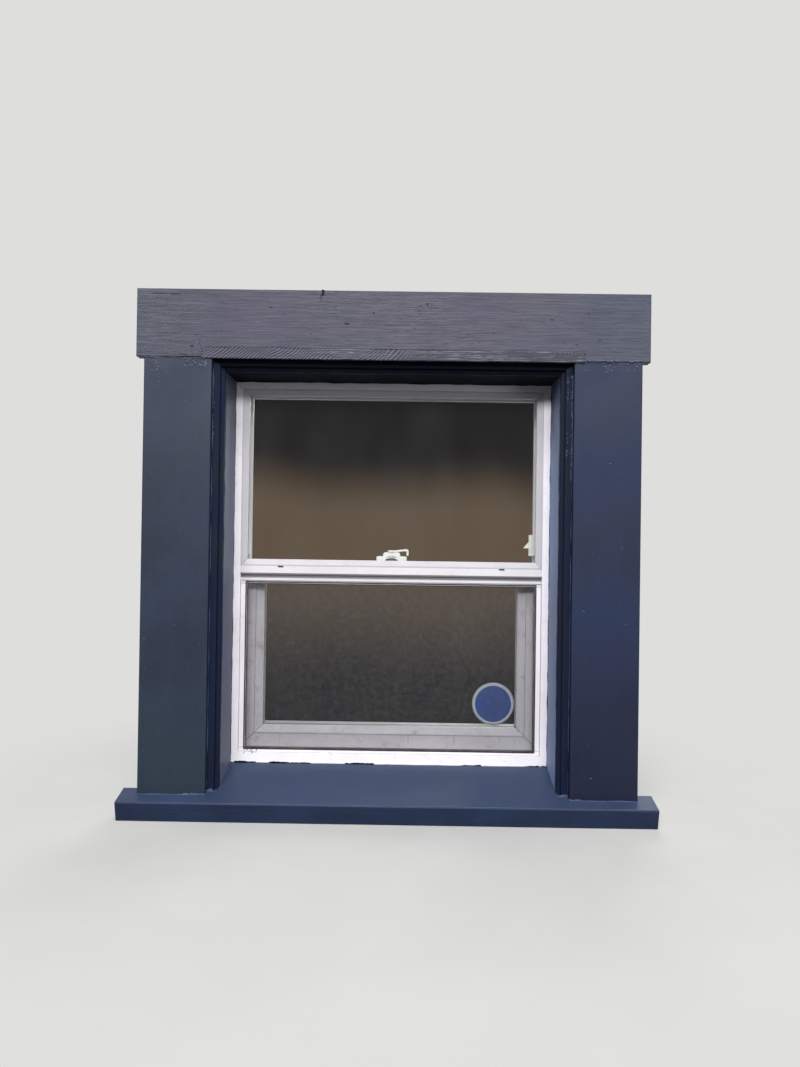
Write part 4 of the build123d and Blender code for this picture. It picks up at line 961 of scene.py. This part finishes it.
# Fields of pale paint at the casings' tops and feet, the mouldings, the sill's nose and the head; those on
# the mouldings' arrises and the sill's nose are painted highlights
def paintFields():
    top, foot, step = casingBox[1][2], onSill(0, casingFront)[2], onSill(0, mouldingFront)[2]
    outer, edge, front, stepFront = outerHalf, edgeHalf, casingFront, mouldingFront
    noseHalf, nose = outer + flecks["noseReach"], onSill(0, sillFront)[2] - flecks["noseDrop"]
    noseDepth = sillFront + flecks["noseDepth"]
    (headLeft, _, low), (headRight, _, high) = headBox
    start, (end, _, stripTop) = stripBox[0][0], stripBox[1]
    return [
        (-outer + 0.004, -edge - 0.004, top - 0.022, top - 0.002, front, 40, 0.9, 1.0),  # left casing's top
        (-edge - 0.055, -edge - 0.008, top - 0.02, top - 0.001, front, 26, 1.2, 1.7),  # inner corner
        (-outer + 0.002, -outer + 0.03, top - 0.03, top - 0.004, front, 12, 1.2, 1.3),  # outer corner
        (-outer + 0.01, -edge - 0.01, top - 0.1, top - 0.03, front, 12, 1.2, 1.2),  # below its top
        (edge + 0.004, outer - 0.004, top - 0.02, top - 0.002, front, 26, 0.6, 1.2),  # right casing's top
        (-outer + 0.006, -edge - 0.006, -0.42, 0.3, front, 9, 1.2, 0.8),  # down the left casing
        (edge + 0.006, outer - 0.006, -0.42, 0.3, front, 9, 1.2, 0.8),  # down the right casing
        # the flecks along the mouldings' arrises and inner edge are painted highlights on lit lumps
        (edge - 0.0026, edge - 0.0008, 0.2, top - 0.012, stepFront, 46, 1.5, 0.9),  # right moulding's arris
        (edge - 0.012, edge - 0.009, 0.24, top - 0.012, stepFront, 22, 1.5, 0.8),  # inner edge
        (0.0008 - edge, 0.0026 - edge, 0.26, top - 0.012, stepFront, 20, 1.5, 0.8),  # left moulding's arris
        (-edge - 0.045, -edge, foot + 0.0004, foot + 0.0024, front, 26, 0.4, 1.1),  # left casing's foot
        (edge, edge + 0.02, foot + 0.0004, foot + 0.0024, front, 12, 0.4, 1.0),  # right casing's foot
        (-edge, 0.014 - edge, step + 0.0004, step + 0.0035, stepFront, 12, 1.0, 1.1),  # left moulding's foot
        (edge - 0.014, edge, step + 0.0004, step + 0.0035, stepFront, 12, 1.0, 1.1),  # right moulding's foot
        # the flecks on the sill's nose are a painted highlight along its edge
        (-noseHalf, noseHalf, nose - 0.0004, nose + 0.0004, noseDepth, 70, 0.0, 1.0),  # sill's nose
        (headRight - 0.016, headRight - 0.003, low + 0.02, high - 0.01, headFront, 16, 1.2, 1.0),  # right end
        (0.045, 0.085, high - 0.045, high - 0.03, headFront, 9, 0.8, 1.0),  # head's top
        (-outer, start, low + 0.004, low + 0.014, headFront, 14, 0.9, 1.3),  # lower left joint
        (start - 0.006, start + 0.001, low + 0.002, stripTop + 0.012, headFront, 14, 1.5, 1.0),  # strip's end
        (-0.42, -0.38, 0.47, 0.492, headFront, 7, 0.7, 1.1),  # head's left, low down
        (end - 0.004, outer + 0.008, low + 0.0006, low + 0.003, headFront, 44, 0.2, 1.5),  # right joint
        (headLeft + 0.01, headRight - 0.01, 0.465, 0.572, headFront, 60, 0.25, 1.0),  # all over the head
    ]


scatter("paintFlecksAndHighlights", paintFields(), flecks["paintSeed"], "fleckPaint", "casing_paint")
scatter("vinylSpecks", [
    (-0.318, -0.288, -0.397, -0.385, vinylFront, 13, 1.4, 0.7),  # the foot's left corner
    (-0.34, 0.34, -0.408, -0.384, vinylFront, 26, 1.4, 0.4),  # along the foot
    (-0.342, -0.33, -0.38, 0.3, vinylFront, 12, 1.4, 0.3),  # up the left side
    (0.33, 0.342, -0.38, 0.3, vinylFront, 9, 1.4, 0.3),  # up the right side
], flecks["vinylSeed"], "trimPaint", "frame_vinyl")

# The keeper's dark arch, a thin plate on its front
keeperArch = {"half": 0.0155, "height": 0.0078, "out": 0.0004, "deep": 0.0012, "lift": 0.0002, "points": 25}


# Half an oval standing on the rail: X is the half width times the cosine, Z the height times the sine
def addArch():
    look = keeperArch
    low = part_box("keeper")[0]
    turn = np.linspace(0, np.pi, look["points"])
    x, z = look["half"] * np.cos(turn), low[2] + look["lift"] + look["height"] * np.sin(turn)
    front, back = at(x, low[1] - look["out"], z), at(x, low[1] + look["deep"], z)
    first = np.arange(len(turn))
    beside = (first + 1) % len(turn)
    walls = np.stack([first, first + len(turn), beside + len(turn), beside], axis=-1).tolist()
    faces = walls + [first.tolist(), (first[::-1] + len(turn)).tolist()]
    addPiece("keeperArch", np.concatenate([front, back]), faces, "archShade", "frame", "cam_metal")
    print("keeper's arch added")


addArch()

# A small bent nail left in the head casing
bentNail = {
    "path": ((-0.144, -0.024, 0.566), (-0.144, -0.028, 0.5665), (-0.1437, -0.0302, 0.569),
             (-0.1433, -0.031, 0.5742)),
    "radius": 0.0013, "way": {"around": 10, "step": 0.0006, "taper": 0},
    "headRadius": 0.003, "headThickness": 0.0012, "headWay": {"around": 12, "step": 0.0002, "taper": 0},
}


# The shank is a tube along the nail's path, and its head a short wide one on from the tip
def addNail():
    look = bentNail
    tip = np.array(look["path"][-1])
    shank = tube(look["path"], look["radius"], **look["way"])
    head = tube([tip, tip + (0, 0, look["headThickness"])], look["headRadius"], **look["headWay"])
    addTubes("bentNail", [shank, head], "trimPaint", "screw_steel")


addNail()

# A plain round label on the sash's glass, blue with a pale rim
plainLabel = {
    "place": (0.232, -0.291), "radius": 0.0475, "rim": 0.0405, "rimSoftness": 0.0002,
    "thickness": 0.00018, "gap": 0.0001, "rings": 14, "around": 72, "closing": 0.97,
    "blue": ((30, 66, 146), (52, 92, 168)), "pale": ((206, 214, 226), (226, 230, 236)),
    "fadeSize": (0.02, 0.02, 0.02), "fadeSeed": 3.0, "fadeHeight": 0.0001, "roughness": 0.4,
}


# A disc of rings about a middle point, its height the thickness times 1 less the sixth power of the
# ring's share of the radius. The last ring lies level behind the outer one and closes it
def disc(centre, radius, thickness, rings, around, closing):
    share = np.append(np.linspace(0, 1, rings + 1)[1:], closing)
    turn = np.linspace(0, 2 * np.pi, around, endpoint=False)
    x = centre[0] + radius * share[:, None] * np.cos(turn)
    z = centre[2] + radius * share[:, None] * np.sin(turn)
    y = centre[1] - thickness * (1 - share[:, None] ** 6) + 0 * turn
    y[-1] = centre[1]
    points = np.concatenate([at(x, y, z).reshape(-1, 3), [(centre[0], centre[1] - thickness, centre[2])]])
    first = np.arange((rings + 1) * around).reshape(rings + 1, around)
    beside = np.roll(first, -1, axis=1)
    walls = np.stack([first[:-1], first[1:], beside[1:], beside[:-1]], axis=-1).reshape(-1, 4)
    middle = np.full(around, (rings + 1) * around)
    fan = np.stack([middle, first[0], beside[0]], axis=-1)
    return points, walls.tolist() + fan.tolist() + [first[-1, ::-1].tolist()]


# Blue within the rim's radius and pale outside it
def labelPrint():
    look = plainLabel
    tree = newMaterial("plainLabel")
    across, up = look["place"]
    centred = objectPlace(tree, (1, 0, 1), (-across, 0, -up))
    reach = addNode(tree, "ShaderNodeVectorMath", {0: centred}, operation="LENGTH").outputs["Value"]
    fading = grains(tree, look["fadeSize"], look["fadeSeed"], detail=5.0)
    blue, pale = (mixColour(tree, fading, colour(*look[name][0]), colour(*look[name][1]))
                  for name in ("blue", "pale"))
    outside = remap(tree, reach, look["rim"] - look["rimSoftness"], look["rim"] + look["rimSoftness"])
    principled(tree, {
        "Base Color": mixColour(tree, outside, blue, pale), "Roughness": look["roughness"],
        "Normal": bump(tree, fading, look["fadeHeight"]),
    })


def addLabel():
    look = plainLabel
    labelPrint()
    across, up = look["place"]
    centre = (across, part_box("sash_outer_pane")[0][1] - look["gap"], up)
    label = disc(centre, look["radius"], look["thickness"], look["rings"], look["around"], look["closing"])
    addPiece("plainLabel", *label, "plainLabel", "sash", "clip_plastic", True)
    print("plain label added")


addLabel()

# Camera at the photograph's viewing angle, a little rolled
cameraPlace = {
    "position": (0.02785, -1.64526, 0.07352), "yaw": 0.309, "pitch": 0.458, "roll": 0.817, "focal": 802.0,
    "imageHeight": 1067.0, "sensor": 36.0,
}


def addCamera():
    data = bpy.data.cameras.new("photoCamera")
    data.sensor_width = cameraPlace["sensor"]
    data.lens = data.sensor_width * cameraPlace["focal"] / cameraPlace["imageHeight"]
    camera = bpy.data.objects.new("photoCamera", data)
    yaw, pitch, roll = (math.radians(cameraPlace[name]) for name in ("yaw", "pitch", "roll"))
    turn = Matrix.Rotation(yaw, 4, "Z") @ Matrix.Rotation(math.pi / 2 + pitch, 4, "X")
    turn = turn @ Matrix.Rotation(roll, 4, "Z")
    camera.matrix_world = Matrix.Translation(cameraPlace["position"]) @ turn
    bpy.context.scene.collection.objects.link(camera)
    bpy.context.scene.camera = camera


addCamera()

# Studio: a pale floor that melts into an even sky, soft lamps, and a dark card behind the panes
skyLook = {"tone": (222, 222, 220), "light": (1.0, 1.0, 1.0, 1.0), "strength": 0.17}
paperFloor = {
    "tone": (202, 202, 200), "bounceTone": (70, 70, 70), "half": 14.0, "gap": 0.0005, "fadeFrom": 0.2,
    "fadeTo": 1.3, "grain": (0.3, 0.3, 0.3),
}
darkCard = {
    "top": (28, 26, 29), "middle": (98, 83, 69), "foot": (9, 8, 11), "upper": (0.12, 0.27),
    "lower": (0.0, -0.3), "grain": (0.3, 1.0, 1.1), "seed": 2.0, "sway": 0.12, "gap": 0.001,
}
softBoxes = {
    "main": {"place": (-0.4, -5.2, 2.5), "size": (3.8, 1.1), "power": 288.0},
    "top": {"place": (0.0, -3.2, 4.2), "size": (3.0, 1.4), "power": 135.0},
    "fill": {"place": (3.0, -3.0, 0.5), "size": (1.8, 1.6), "power": 28.0},
    "back": {"place": (0.9, 3.2, 1.6), "size": (2.0, 1.4), "power": 60.0},
}


# 1 for the rays that show a thing, which are the camera's and those named, and 0 for rays that light
def seenBy(tree, *rays):
    path = addNode(tree, "ShaderNodeLightPath")
    seen = path.outputs["Is Camera Ray"]
    for ray in rays:
        seen = maths(tree, "MAXIMUM", seen, path.outputs[ray])
    return seen


def glowing(tree, tone):
    return addNode(tree, "ShaderNodeEmission", {"Color": tone, "Strength": 1.0})


# A square of paper that turns into glow with the distance from the middle, and gives back little light
def addFloor():
    look, size, sky = paperFloor, paperFloor["half"], colour(*skyLook["tone"])
    tree = newMaterial("floorPaper")
    fibre = grains(tree, look["grain"], detail=3.0)
    paper = mixColour(tree, fibre, colour(*look["tone"]), sky)
    seen = seenBy(tree, "Is Glossy Ray", "Is Transmission Ray")
    paper = mixColour(tree, seen, colour(*look["bounceTone"]), paper)
    flat = addNode(tree, "ShaderNodeBsdfDiffuse", {"Color": paper})
    reach = addNode(tree, "ShaderNodeVectorMath", {0: objectPlace(tree, (1, 1, 0))}, operation="LENGTH")
    far = remap(tree, reach.outputs["Value"], look["fadeFrom"], look["fadeTo"])
    output(tree, mixShader(tree, maths(tree, "MULTIPLY", seen, far), flat, glowing(tree, sky)))
    x, y = np.array([-size, size, size, -size]), np.array([-size, -size, size, size])
    addPiece("floor", at(x, y, cadBox[0][2] - look["gap"]), [(0, 1, 2, 3)], "floorPaper")


# The card glows only toward the front, so the panes look into a dim room and stay clear from indoors
def addCard():
    look = darkCard
    tree = newMaterial("darkCard")
    side = addNode(tree, "ShaderNodeNewGeometry")
    front = maths(tree, "SUBTRACT", 1.0, side.outputs["Backfacing"])
    soft = grains(tree, look["grain"], look["seed"], detail=2.0)
    sway = maths(tree, "MULTIPLY", maths(tree, "SUBTRACT", soft, 0.5), look["sway"])
    height = maths(tree, "ADD", axisPart(tree, objectPlace(tree), "Z"), sway)
    top, middle, foot = (colour(*look[name]) for name in ("top", "middle", "foot"))
    tone = mixColour(tree, remap(tree, height, *look["upper"]), middle, top)
    tone = mixColour(tree, remap(tree, height, *look["lower"]), tone, foot)
    shown = maths(tree, "MULTIPLY", seenBy(tree, "Is Transmission Ray"), front)
    output(tree, mixShader(tree, shown, addNode(tree, "ShaderNodeBsdfTransparent"), glowing(tree, tone)))
    stops = (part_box(name) for name in ("left_inside_stop", "right_inside_stop", "head_inside_stop"))
    (leftLow, leftHigh), (rightLow, _), (headLow, _) = stops
    x = np.array([leftHigh[0], rightLow[0], rightLow[0], leftHigh[0]])
    z = np.array([leftLow[2], leftLow[2], headLow[2], headLow[2]])
    addPiece("darkCard", at(x, leftHigh[1] + look["gap"], z), [(0, 1, 2, 3)], "darkCard")


# White light of an even strength, shown as the sky's tone
def addSky():
    world = bpy.data.worlds.new("studioSky")
    bpy.context.scene.world = world
    world.use_nodes = True
    tree = world.node_tree
    tree.nodes.clear()
    even = addNode(tree, "ShaderNodeBackground", {"Color": skyLook["light"], "Strength": skyLook["strength"]})
    shown = addNode(tree, "ShaderNodeBackground", {"Color": colour(*skyLook["tone"]), "Strength": 1.0})
    both = mixShader(tree, seenBy(tree, "Is Glossy Ray", "Is Transmission Ray"), even, shown)
    addNode(tree, "ShaderNodeOutputWorld", {"Surface": both.outputs[0]})


# A soft box that looks at the window's middle
def addLamp(name, place, size, power):
    data = bpy.data.lights.new(name + "Softbox", "AREA")
    data.shape = "RECTANGLE"
    data.size, data.size_y = size
    data.energy = power
    lamp = bpy.data.objects.new(name + "Softbox", data)
    place = Vector(place)
    lamp.matrix_world = Matrix.Translation(place) @ (-place).to_track_quat("-Z", "Y").to_matrix().to_4x4()
    bpy.context.scene.collection.objects.link(lamp)


addFloor()
addCard()
addSky()
for lampName, lampLook in softBoxes.items():
    addLamp(lampName, **lampLook)
bpy.context.scene.view_settings.view_transform = "Standard"
print("camera, floor and lamps set")
